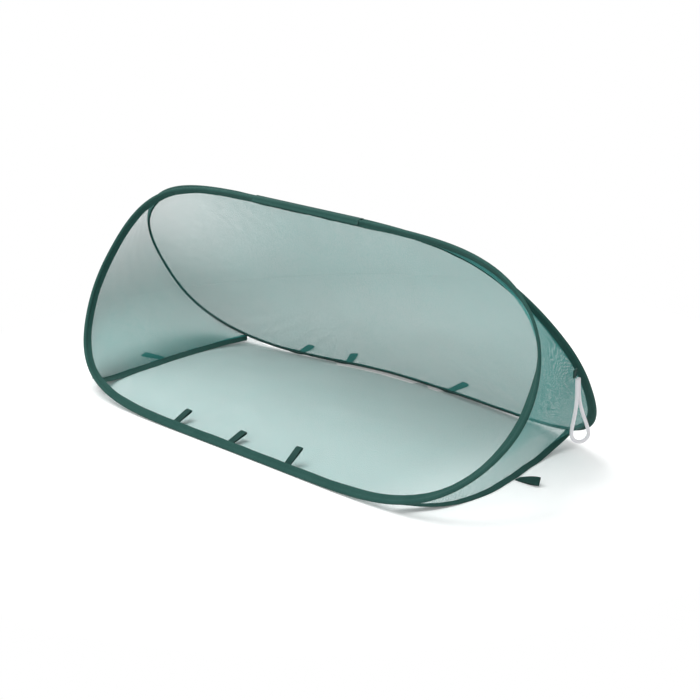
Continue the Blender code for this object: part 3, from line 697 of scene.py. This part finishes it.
def storage_route():
    """The elastic: down one side, round and up the other, hung under the patch."""
    start = patch_place + seam_out * STORAGE_LOOP_STANDOFF
    start[2] -= STORAGE_PATCH_SIZE / 2 + CLEARANCE + 0.001
    top, bottom = ELASTIC_DIAMETER / 2 + CLEARANCE, STORAGE_LOOP_SPREAD / 2
    straight = STORAGE_LOOP_DROP - bottom
    share = np.linspace(0, 1, 12)[:-1]
    opened = past(share, STORAGE_LOOP_CLOSED, 1 - STORAGE_LOOP_CLOSED)
    side = np.column_stack([top + (bottom - top) * eased(opened), -straight * share])
    turn = np.linspace(0, pi, 13)
    bend = np.column_stack([-bottom * np.cos(turn), -straight - bottom * np.sin(turn)])
    sideways, height = np.vstack([side * [-1, 1], bend, side[::-1]]).T
    fallen = np.minimum(-height / straight, 1.0) ** 2
    angle = atan2(-seam_along[1], -seam_along[0]) - radians(STORAGE_LOOP_TWIST) * fallen
    place = start - seam_along * STORAGE_LOOP_DRIFT * fallen[:, None]
    return place + np.column_stack([sideways * np.cos(angle), sideways * np.sin(angle), height])


def finer(points, count):
    """The same open line through a smooth curve, with count points an equal way apart."""
    padded = np.vstack([2 * points[0] - points[1], points, 2 * points[-1] - points[-2]])
    made = []
    for a, b, c, d in zip(padded, padded[1:], padded[2:], padded[3:]):
        for t in np.linspace(0, 1, 8, endpoint=False):
            bend = (2 * a - 5 * b + 4 * c - d) * t**2 + (3 * b - a - 3 * c + d) * t**3
            made.append(0.5 * (2 * b + (c - a) * t + bend))
    made = np.vstack([made, points[-1:]])
    length = running(made)
    return between(np.linspace(0, length[-1], count), length, made)


def tube(name, path, radius, sides, finish):
    """A round tube with closed ends along an open line."""
    tangent = unit(np.gradient(path, axis=0))
    across = np.cross(tangent[0], [1.0, 0.0, 0.0])
    normals = []
    for t in tangent:
        across = unit(across - t * np.dot(across, t))
        normals.append(across)
    normals = np.array(normals)[:, None]
    angle = np.linspace(0, 2 * pi, sides, endpoint=False)[None, :, None]
    ring = normals * np.cos(angle) + np.cross(tangent, normals[:, 0])[:, None] * np.sin(angle)
    return skin(name, path[:, None] + ring * radius, finish, "solid")


def line_length(path):
    return float(running(path)[-1])


elastic_path = finer(storage_route(), 150)
cord = tube("elastic_storage_loop", elastic_path, ELASTIC_DIAMETER / 2, 14, elastic_finish)
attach(cord, "rear_frame")
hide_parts("storage_loop")

# Bindings: the tape folded round each hoop's wire


def tape_section():
    """The tape's section: kind, angle or share of the flap, side, face of the tape and edge share."""
    rows = [("flap", 1.0, 1, 0.75)]
    rows += [("flap", share, 1, 1.0) for share in np.linspace(1, 0, 8)]
    rows += [("fold", angle, 1, 1.0) for angle in np.linspace(112, -112, 17)]
    rows += [("flap", share, -1, 1.0) for share in np.linspace(0, 1, 7)]
    rows += [("flap", share, -1, face) for share, face in ((1.0, 0.75), (1.0, 0.25), (1.0, 0.0), (0.0, 0.0))]
    rows += [("fold", angle, 1, 0.0) for angle in np.linspace(-118, 118, 9)]
    rows += [("flap", share, 1, face) for share, face in ((0.0, 0.0), (0.5, 0.0), (1.0, 0.0), (1.0, 0.25))]
    return rows


def pucker_lines(frames, seed):
    """How far the two flaps stand off the panel, and how far their tips wander."""
    kinds = ((0.021, 0), (0.017, 1), (0.09, 10), (0.06, 11))
    count, length = len(frames.points), frames.lengths()[-1]
    noise = [smooth_noise(count, length, wave, seed + more) for wave, more in kinds]
    return [0.5 + 0.5 * line for line in noise[:2]], noise[2:]


def flap_place(lie, share, side, face, pucker):
    """A place on a flap: share runs from the fold's neck to the flap's edge, face from inside to outside."""
    neck = -1.3 * lie.fold
    reach = lie.reach if side > 0 else lie.reach - FIRST_FLAP_SHORTER
    normal = side * (HALF_MESH + CLEARANCE + TAPE_THICKNESS * face + PUCKER * share * pucker)
    return neck + (-reach - neck) * share, normal


def make_binding(name, frames, lie, seed):
    puckers, wanders = pucker_lines(frames, seed)
    rings, edges = [], []
    for kind, place, side, face in tape_section():
        flap = int(side < 0)
        if kind == "fold":
            radius, angle = lie.fold - TAPE_THICKNESS * (1 - face), radians(place)
            radial, normal = radius * cos(angle), radius * sin(angle)
            edges.append(0.5 * max(0.0, cos(angle)) if face else 0.0)
        else:
            radial, normal = flap_place(lie, place, side, face, puckers[flap])
            inwards = EDGE_ROUND if face in (0.25, 0.75) else 0.0
            radial = radial - TIP_WANDER * place * wanders[flap] - inwards
            edges.append(place**4)
        rings.append(frames.offset(*lie.turned(radial, normal)))
    edge = np.tile(edges, len(frames.points))
    return skin(name, np.stack(rings, axis=1), tape_finish, "ring", (frames.lengths(), None), edge=edge)


def stitches(name, rows):
    """Short raised stitches: each row is points, their directions and the way up from the cloth."""
    places, tangents, ups = (np.vstack(column) for column in zip(*rows))
    sides = np.cross(tangents, ups)
    points = []
    for shift, size in ((-0.5, 0.4), (0.0, 1.0), (0.5, 0.4)):
        middle = places + tangents * STITCH_LENGTH * shift - ups * STITCH_HEIGHT * 0.3
        points.append(middle - sides * STITCH_WIDTH / 2 * size)
        points.append(middle + ups * STITCH_HEIGHT * 1.3 * size)
        points.append(middle + sides * STITCH_WIDTH / 2 * size)
    shape = [(0, 1, 2), (8, 7, 6)]
    shape += [(r + a + 3, r + b + 3, r + b, r + a) for r in (0, 3) for a, b in ((0, 1), (1, 2), (2, 0))]
    starts = range(0, 9 * len(places), 9)
    faces = [[start + corner for corner in face] for start in starts for face in shape]
    points = np.stack(points, axis=1).reshape(-1, 3)
    uv = points[np.concatenate(faces), :2]
    return add_mesh(name, points, faces, uv, thread_finish, True, {"edge": np.zeros(len(points))})


def sewn_row(wanted, length, *ways):
    """A row of stitches: places, directions and ways up at the wanted distances along a line."""
    places, tangents, ups = (between(wanted, length, way) for way in ways)
    return places, unit(tangents), unit(ups)


def hoop_row(frames, lie, share, side, pucker):
    """One row of stitches round a hoop's tape."""
    length = frames.lengths()
    places = frames.offset(*lie.turned(*flap_place(lie, share, side, 1.0, pucker)))
    up_radial, up_normal = lie.turned(0.0, float(side))
    ups = frames.radial * up_radial[:, None] + frames.normal * up_normal[:, None]
    closed = [np.vstack([way, way[:1]]) for way in (places, frames.tangent, ups)]
    return sewn_row(np.arange(0, length[-1] - STITCH_LENGTH, STITCH_PITCH), length, *closed)


for label, hoop, body, seed in (("front", FRONT, "front_frame", 11), ("rear", REAR, "rear_frame", 29)):
    line = lines[hoop["side"]]
    frames = Frames(hoop, even(hoop, line.frames.loop, TAPE_STATIONS))
    lie = Lie(hoop, frames, line.thick)
    binding = make_binding(f"{label}_binding_tape", frames, lie, seed)
    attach(binding, body)
    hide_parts(f"{label}_hoop_binding")
    puckers, _ = pucker_lines(frames, seed)
    rows = [hoop_row(frames, lie, share, side, puckers[side < 0]) for share, side in STITCH_SHARES]
    sewing = stitches(f"{label}_binding_stitches", rows)
    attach(sewing, body)
    for part, finish in (("wire", steel_finish), ("sleeve", sleeve_finish)):
        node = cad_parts[f"{label}_hoop_{part}"]
        node.data.materials.clear()
        node.data.materials.append(finish)

# Sheets of netting


def floor_path(tape, shares, lift):
    """A floor tape's line: down from the front hoop, over the ground and up to the rear hoop."""
    front = lines[-1].at_foot(tape["front_x"], normal=FOLD_TUCK - TAPE_RADIUS)
    rear = lines[1].at_foot(tape["rear_x"], normal=FOLD_TUCK - TAPE_RADIUS)
    path = front + (rear - front) * shares[:, None]
    middle = 1 - np.abs(2 * shares - 1) ** tape["power"]
    middle *= 1 + tape["skew"] * (0.25 - shares)
    path[:, 0] += tape["end"] * tape["bulge"] * middle
    down, up = (np.clip(1 - share / LANDING, 0, 1) ** 2 for share in (shares, 1 - shares))
    path[:, 2] = lift + (front[2] - lift) * down + (rear[2] - lift) * up
    return path


def relaxed(grid):
    """The inner points of a grid, moved to where a film stretched over its rim would hold them."""
    grid = grid.copy()
    for _ in range(RELAX_ROUNDS):
        grid[1:-1, 1:-1] = (grid[:-2, 1:-1] + grid[2:, 1:-1] + grid[1:-1, :-2] + grid[1:-1, 2:]) / 4
    return grid


def end_grid(tape, rows, columns):
    """The three-sided end panel, from the floor tape up to where the hoops meet."""
    across = np.linspace(0, 1, columns)
    rise = np.linspace(0, 1, rows)[:, None, None]
    front, rear = (
        lines[side].arc_points(tape["end"], tape[key], END_TOP_RISE, rows)
        for side, key in ((-1, "front_x"), (1, "rear_x"))
    )
    grid = front[:, None] + (rear - front)[:, None] * across[None, :, None]
    bottom = floor_path(tape, across, FLOOR_TAPE_THICKNESS + FLOOR_LIFT)
    bottom[:, 0] += tape["end"] * tape["sewn_at"] * (1 - np.abs(2 * across - 1) ** 8)
    grid = grid + (bottom - grid[0])[None] * (1 - rise) ** 3
    low = np.clip(1 - rise / RELAXED_BELOW, 0, 1)
    return grid + (relaxed(grid) - grid) * eased(low)


def ripple(rows, columns, size, wave, seed):
    """A gentle unevenness for a stretched sheet, still at its edges."""
    rng = np.random.default_rng(seed)
    i, j = np.linspace(0, 1, rows)[:, None], np.linspace(0, 1, columns)[None]
    total = np.zeros((rows, columns))
    for _ in range(14):
        a, b = rng.normal(0, 1 / wave, 2)
        total += np.sin(2 * pi * (a * i + b * j) + rng.uniform(0, 2 * pi))
    edge = np.sin(pi * i) ** 0.5 * np.sin(pi * j) ** 0.5
    return size * total / np.abs(total).max() * edge


def spread(grid):
    """Each point's place in the flat cloth: along from the middle column, and across from the foot."""
    along = np.pad(np.cumsum(grid_steps(grid, 1), axis=1), ((0, 0), (1, 0)))
    along -= along[:, along.shape[1] // 2][:, None]
    return along, np.pad(np.cumsum(grid_steps(grid, 0), axis=0), ((1, 0), (0, 0)))


def stretched(node):
    """Hides the CAD sheet that a sheet of netting stands for."""
    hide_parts(node)


def fold_blend(obj):
    """Bakes the object's place into its mesh."""
    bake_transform(obj)


def painted_light_and_shade(grid, foot=-1.0):
    """How open the netting is: opened near the upper left corner as painted light, densest low down as
    painted shade, and a little denser towards the right.
    """
    corner = past(-grid[..., 0], *LIT_CORNER_LEFT) * past(grid[..., 2], *LIT_CORNER_HIGH)
    dense = SHADE_LOW_DENSITY * np.clip(1 - grid[..., 2] / SHADE_BELOW, 0, 1)
    dense = dense + DENSE_RIGHT * past(grid[..., 0], *DENSER_FROM)
    return np.maximum(eased(corner) * LIT_CORNER_MOST - np.minimum(dense, DENSE_MOST), foot)


def panel_height(z):
    return (z - TAPE_RADIUS) / LEAN_UP


def make_rear_sheet():
    edge = Frames(REAR, even(REAR, lines[1].frames.loop, PANEL_STATIONS))
    lie = Lie(REAR, edge, lines[1].thick)
    centre = np.array([0.0, 0.5])
    tip_radial, tip_normal = lie.turned(NETTING_TUCK - lie.reach, 0.0)
    shares = np.concatenate([[1.0], np.linspace(0.935, 0.02, 34)])
    levels = [edge.offset(tip_radial, tip_normal)]
    for share in shares[1:]:
        inner = centre + (edge.loop - centre) * share
        place = surface(REAR, inner[:, 0], inner[:, 1])
        away = np.linalg.norm(place - levels[0], axis=1)
        levels.append(place + edge.normal * (tip_normal * np.exp(-((away / PANEL_RUN_OUT) ** 1.5)))[:, None])
    length = edge.lengths()[-1]
    drawn, belly = (smooth_noise(PANEL_STATIONS, length, wave, seed) for wave, seed in ((0.075, 5), (0.8, 8)))
    strength = past(shares, 0.45, 0.4) * past(1 - shares, 0, 0.08)
    soft = past(1 - shares, 0, 0.5) * shares
    lift = PANEL_DRAWN * strength[:, None] * drawn + PANEL_BELLY * soft[:, None] * belly
    grid = np.stack(levels) + edge.normal[None] * lift[..., None]
    closed = np.concatenate([grid, grid[:, :1]], axis=1)
    maps = (closed[..., 0], panel_height(closed[..., 2]))
    sheet = skin("rear_netting", grid, net_finish, "band", maps, open=painted_light_and_shade(grid))
    close_middle(sheet.data, grid[-1])
    return sheet


def close_middle(mesh, ring):
    """Closes the hole inside a mesh's last ring of points."""
    made = bmesh.new()
    made.from_mesh(mesh)
    layer = made.loops.layers.uv["cloth"]
    rim = list(made.verts)[-len(ring):]
    middle = made.verts.new(tuple(ring.mean(axis=0)))
    for first, second in zip(rim, rim[1:] + rim[:1]):
        face = made.faces.new((first, second, middle))
        face.smooth = True
        for corner in face.loops:
            corner[layer].uv = (corner.vert.co.x, panel_height(corner.vert.co.z))
    bmesh.ops.recalc_face_normals(made, faces=made.faces[:])
    made.to_mesh(mesh)
    made.free()


def make_end_sheet(name, tape, seed, opening):
    rows, columns = 90, 64
    grid = end_grid(tape, rows, columns)
    normals = unit(np.cross(np.gradient(grid, axis=0), np.gradient(grid, axis=1)) + 1e-12)
    grid = grid + normals * ripple(rows, columns, END_RIPPLE, 0.35, seed)[..., None]
    maps = spread(grid)
    foot = np.clip((END_FOOT[0] - maps[1]) / END_FOOT[1], 0, 1) * opening if opening else -1.0
    return skin(name, grid, net_finish, maps=maps, open=painted_light_and_shade(grid, foot))


def make_floor_sheet():
    rows, columns = 60, 200
    down, across = np.linspace(0, 1, rows), np.linspace(0, 1, columns)
    edges = []
    for tape in (LEFT_TAPE, RIGHT_TAPE):
        edge = floor_path(tape, down, FLOOR_LIFT)
        edge[:, 0] -= tape["end"] * FLOOR_UNDER_TAPE
        edges.append(edge)
    grid = edges[0][:, None] * (1 - across[None, :, None]) + edges[1][:, None] * across[None, :, None]
    outer = np.abs(2 * across - 1)
    grid[..., 2] = FLOOR_LIFT + (grid[..., 2] - FLOOR_LIFT) * outer[None] ** 24
    inner = 1 - outer**FLOOR_CORNER
    for row, side in ((0, -1), (-1, 1)):
        line = lines[side]
        x = grid[row, :, 0]
        wanted = line.at_foot(x)
        fold = np.interp(x, line.foot_x, line.lie.fold[line.order])
        wanted[:, 1] -= side * (FLOOR_SHORT[0] + FLOOR_SHORT[1] * past(fold, *THIN_FOLD))
        if side == 1:
            wanted[:, 1] += REAR_TUCK
            for start, end, depth in BARE_STRETCHES:
                wanted[:, 1] -= depth * (past(x, start, BARE_EASE) * past(end - x, 0, BARE_EASE))
        near = (1 - down if side == -1 else down)[:, None]
        grid[..., 1] += (wanted[:, 1] - grid[row, :, 1])[None] * near * inner[None]
        raised = np.maximum(wanted[:, 2] - TAPE_RADIUS, 0) * inner
        grid[..., 2] += (raised + FLOOR_OVER_FOLD * inner)[None] * past(near, *FLOOR_RISE) ** 2
    grid[..., 2] += np.abs(ripple(rows, columns, FLOOR_RIPPLE, 0.3, 41))
    # Painted light and shade: the floor is opened more than the walls so it shows lighter over the shaded
    # ground beneath, and opened wide towards the right end. Where it rises by the rear hoop, right of the
    # middle, it is shut again as painted shade.
    opening = FLOOR_OPEN + (1 - FLOOR_OPEN) * past(grid[..., 0], *FLOOR_OPENER)
    painted_shade_share = np.prod([past(grid[..., axis], *run) for axis, run in enumerate(SHADE_RISE_FROM)], axis=0)
    opening = opening + (FLOOR_SHADE_LEVEL - opening) * painted_shade_share
    return skin("floor_netting", grid, net_finish, maps=spread(grid), open=opening)


rear_sheet = make_rear_sheet()
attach(rear_sheet, "rear_frame")
stretched("rear_mesh_panel")

for label, tape, seed, opening in (("left", LEFT_TAPE, 17, 0.0), ("right", RIGHT_TAPE, 23, 1.0)):
    end_sheet = make_end_sheet(f"{label}_end_netting", tape, seed, opening)
    fold_blend(end_sheet)
    stretched(f"{label}_end_mesh")

floor_sheet = make_floor_sheet()
fold_blend(floor_sheet)
stretched("floor_mesh")

# Flat tapes along the floor's ends and over the ridge


def flat_section(width, thickness):
    """A flat tape's section with rounded edges: across, up and edge share."""
    half, round_off = width / 2, thickness / 2
    upper = [(a, round_off) for a in np.linspace(-half + round_off, half - round_off, 7)]
    upper += [(half - round_off + b, a) for b, a in arc(round_off, 60, -60, 3)]
    section = np.array(upper + [(-a, -b) for a, b in upper])
    return np.column_stack([section, np.clip(np.abs(section[:, 0]) / half, 0, 1) ** 6])


def strip_ways(path):
    """The directions along, up from and across a tape that lies across X."""
    tangent = unit(np.gradient(path, axis=0))
    up = unit(np.cross(tangent, [1.0, 0.0, 0.0]))
    up = up * np.sign(up[:, 2:3] + 1e-9)
    return tangent, up, unit(np.cross(up, tangent))


def make_strip(name, path, width, seed):
    """A floor tape along a path."""
    section = flat_section(width, FLOOR_TAPE_THICKNESS)
    _, up, side = strip_ways(path)
    curl, wander = (
        smooth_noise(len(path), line_length(path), wave, seed + n, closed=False) * FLOOR_TAPE_CURL
        for n, wave in enumerate((0.05, 0.08))
    )
    grid = []
    for a, b, _ in section:
        bend = np.abs(curl) * (2 * a / width) ** 2
        grid.append(path + side * (a + wander)[:, None] + up * (b + bend)[:, None])
    edge = np.tile(section[:, 2], len(path))
    return skin(name, np.stack(grid, axis=1), tape_finish, "solid", edge=edge)


def strip_row(path, shift, rise):
    """One row of stitches along a floor tape."""
    tangent, up, side = strip_ways(path)
    length = running(path)
    wanted = np.arange(0.004, length[-1] - 0.004, STITCH_PITCH)
    return sewn_row(wanted, length, path + side * shift + up * rise, tangent, up)


for label, tape, seed in (("left", LEFT_TAPE, 51), ("right", RIGHT_TAPE, 57)):
    path = floor_path(tape, np.linspace(0.006, 0.994, 160), FLOOR_TAPE_THICKNESS / 2 + 0.0002)
    inner, outer = tape["shown"]
    path[:, 0] -= tape["end"] * (inner - outer) / 2
    strip = make_strip(f"{label}_floor_edge_tape", path, inner + outer, seed)
    fold_blend(strip)
    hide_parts(f"{label}_floor_tape")
    reach = (inner + outer) / 2 - STITCH_MARGIN
    rows = [strip_row(path, shift, FLOOR_TAPE_THICKNESS / 2 + 0.0003) for shift in (-reach, reach)]
    sewing = stitches(f"{label}_floor_edge_stitches", rows)
    fold_blend(sewing)


def make_ridge_tape():
    """The strip sewn over both hoops' tapes along the ridge."""
    count, half = 121, RIDGE_TAPE_THICKNESS / 2
    profile = [(RIDGE_GAP + y, z) for y, z in arc(RIDGE_FOLD + half + 0.0001, 96, -4, 12)]
    down = np.array((LEAN_OUT, -LEAN_UP))
    profile += [tuple(profile[11] + down * RIDGE_TAPE_FLANK * share) for share in (0.35, 0.7, 1.0)]
    profile = np.array([(-a, b) for a, b in profile[::-1]] + profile)
    ahead = unit(np.gradient(profile, axis=0))
    normal = np.column_stack([-ahead[:, 1], ahead[:, 0]])
    normal *= np.sign((normal * (profile - [0, -0.004])).sum(axis=1, keepdims=True))
    closed = np.vstack([profile + normal * half, (profile - normal * half)[::-1]])
    breathe = smooth_noise(count, RIDGE_TAPE_LENGTH, 0.03, 71, closed=False) * 0.0002
    grid = np.zeros((count, len(closed), 3))
    grid[..., 0] = (np.linspace(-0.5, 0.5, count) * RIDGE_TAPE_LENGTH)[:, None]
    grid[..., 1] = closed[:, 0] * (1 + 12 * breathe[:, None])
    grid[..., 2] = RIDGE_WIRE_Z + closed[:, 1]
    flank = np.clip(-closed[:, 1] / RIDGE_TAPE_FLANK, 0, 1) ** 3
    end = np.clip(np.abs(np.linspace(-1, 1, count)) * 20 - 19, 0, 1)
    edge = np.maximum(flank[None], end[:, None])
    return skin("ridge_cover_tape", grid + SHIFT, tape_finish, "solid", edge=edge)


ridge = make_ridge_tape()
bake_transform(ridge)
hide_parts("ridge_seam_tape")

# Stake loops


def loop_profile(count=53):
    """The loop's outer and inner lines, from the root over the top to the tip and back below."""
    sewn, half_slot, length, webbing = LOOP_ROOT, LOOP_SLOT / 2, LOOP_LENGTH, LOOP_WEBBING
    upper = np.array([
        ((-0.9 * sewn, 0.0), (LOOP_SEWN_LENGTH, 0.0)),
        ((-0.5 * sewn, 0.8 * sewn), (LOOP_SEWN_LENGTH + 0.002, 0.0002)),
        ((LOOP_SEWN_LENGTH, sewn), (0.35 * length, 0.35 * half_slot)),
        ((0.55 * length, 0.7 * half_slot + webbing), (0.6 * length, 0.7 * half_slot)),
        ((0.86 * length, half_slot + webbing), (0.86 * length, half_slot)),
        ((length - 0.5 * half_slot, 0.8 * half_slot + 0.8 * webbing), (0.93 * length, 0.75 * half_slot)),
        ((length, 0.0), (length - webbing - 0.0004, 0.0)),
    ])
    whole = np.concatenate([upper, upper[-2::-1] * [1, -1]])
    return finer(whole[:, 0], count), finer(whole[:, 1], count)


def loop_place(node, where, turn):
    """The root and heading of a stake loop. Heading 0 points along +Y."""
    standoff = TAPE_RADIUS + LOOP_ROOT + ROOT_GAP
    low = LOOP_ROOT + 0.0004
    if isinstance(where, dict):
        half_width = LOOP_WIDTH / 2 / FOOT_SPREAD
        under = floor_path(where, where["loop_at"] + np.linspace(-half_width, half_width, 5), 0)
        outermost = np.max(under[:, 0] * where["end"]) * where["end"]
        reach = FLOOR_TAPE_WIDTH / 2 + LOOP_ROOT + ROOT_GAP
        reach += LOOP_WIDTH / 2 * abs(cos(radians(turn)))
        return np.array([outermost + where["end"] * reach, under[2, 1], low]), turn
    x = where + SHIFT[0]
    if node.startswith("front"):
        return lines[-1].at_foot(x) + [0, standoff, 0.0001], 0.0
    before, after = lines[1].at_foot(x - LOOP_WIDTH / 2), lines[1].at_foot(x + LOOP_WIDTH / 2)
    along = degrees(atan2(after[1] - before[1], LOOP_WIDTH))
    reach = standoff + LOOP_WIDTH / 2 * sin(radians(abs(turn)))
    y = lines[1].at_foot(x)[1] + reach / cos(radians(along))
    return np.array([x, y, low]), along + turn


def make_loop(name, root, turn, twist, seed):
    outer, inner = loop_profile()
    closed = np.concatenate([outer, inner[::-1]])
    rng = np.random.default_rng(seed)
    twist, lean = twist + rng.uniform(-5, 5), rng.uniform(-0.0012, 0.0012)
    across = np.array([-1, -0.9, -0.5, 0, 0.5, 0.9, 1]) * LOOP_WIDTH / 2
    grid = np.zeros((len(across), len(closed), 3))
    share = np.clip(closed[:, 0] / LOOP_LENGTH, 0, 1)
    angle = np.radians(twist) * share
    middle = (outer + inner) / 2
    centre = np.concatenate([middle, middle[::-1]])
    for row, (x, size) in enumerate(zip(across, (0.86, 1, 1, 1, 1, 1, 0.86))):
        section = centre + (closed - centre) * size
        grid[row, :, 0] = x * np.cos(angle) - section[:, 1] * np.sin(angle) + lean * share
        grid[row, :, 1] = section[:, 0]
        grid[row, :, 2] = x * np.sin(angle) + section[:, 1] * np.cos(angle)
    edge = np.tile((np.abs(across) / across.max())[:, None] ** 6, (1, len(closed)))
    return skin(name, grid @ turn + root, webbing_finish, "solid", edge=edge)


def bar_tack(name, root, turn):
    """Two dense bars of thread over the sewn root of a loop."""
    x = np.linspace(-TACK_REACH, TACK_REACH, 12)[:, None] * LOOP_WIDTH * [1.0, 0.0, 0.0]
    slant = unit([TACK_SLANT, 1.0, 0.0])
    rows = []
    for y in TACK_PLACES:
        for face in (1.0, -1.0):
            ways = (x + [0, y, face * LOOP_ROOT], x * 0 + slant, x * 0 + [0.0, 0.0, face])
            rows.append([way @ turn for way in ways])
            rows[-1][0] = rows[-1][0] + root
    return stitches(name, rows)


for seed, (node, (where, turn, tilt, twist)) in enumerate(STAKE_LOOPS.items()):
    body = node.replace("_stake", "")
    root, yaw = loop_place(node, where, turn)
    turn = np.array(Matrix.Rotation(radians(yaw), 3, "Z") @ Matrix.Rotation(radians(tilt), 3, "X")).T
    loop = make_loop(f"{node}_webbing", root, turn, twist, 80 + seed)
    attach(loop, body)
    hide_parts(node)
    tack = bar_tack(f"{node}_tack", root, turn)
    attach(tack, body)


def make_patch():
    """The folded square of tape that holds the elastic's two ends."""
    around = [(-1, -1), (0, -1.03), (1, -1), (1.03, 0), (1, 1), (0, 1.03), (-1, 1), (-1.03, 0)]
    square = np.array([seam_along * a + np.array([0, 0, b]) for a, b in around]) * STORAGE_PATCH_SIZE / 2
    levels = ((0.0, 0.94), (0.1, 1.0), (0.9, 1.0), (1.0, 0.94))
    rings = [seam_out * (SEAM_GAP + STORAGE_PATCH_THICKNESS * out) + square * size for out, size in levels]
    edge = np.full((len(levels), len(around)), 0.6)
    return skin("storage_patch_tape", patch_place + np.array(rings), tape_finish, "solid", edge=edge)


patch = make_patch()
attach(patch, "rear_frame")
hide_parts("storage_loop_patch")

# Ground, light and world


def add_ground():
    half = GROUND_SIZE / 2
    mesh = bpy.data.meshes.new("ground")
    corners = [(-half, -half, 0), (half, -half, 0), (half, half, 0), (-half, half, 0)]
    mesh.from_pydata(corners, [], [(0, 1, 2, 3)])
    mesh.materials.append(ground_material())
    ground = link(bpy.data.objects.new("ground", mesh))


def add_area(name, place, size, watts):
    data = bpy.data.lights.new(name, "AREA")
    data.shape = "DISK"
    data.size = size
    data.energy = watts
    lamp = link(bpy.data.objects.new(name, data))
    lamp.location = place
    lamp.rotation_euler = (Vector(LAMP_TARGET) - Vector(place)).to_track_quat("-Z", "Y").to_euler()


def add_world():
    """White behind the cover, and a softer light for all else."""
    g = Graph("studio", "worlds", "OutputWorld")
    bpy.context.scene.world = g.owner
    path = g.add("LightPath")
    seen = g.math("MAXIMUM", path.outputs["Is Camera Ray"], path.outputs["Is Glossy Ray"])
    plain, shown = (g.add("Background", Color=WHITE, Strength=s).outputs[0] for s in (WORLD_LIGHT, 1.0))
    g.done(g.add("MixShader", i0=seen, i1=plain, i2=shown))


add_ground()
add_area("key", *KEY_LAMP)
add_area("fill", *FILL_LAMP)
add_world()
bpy.context.scene.view_settings.view_transform = "Standard"
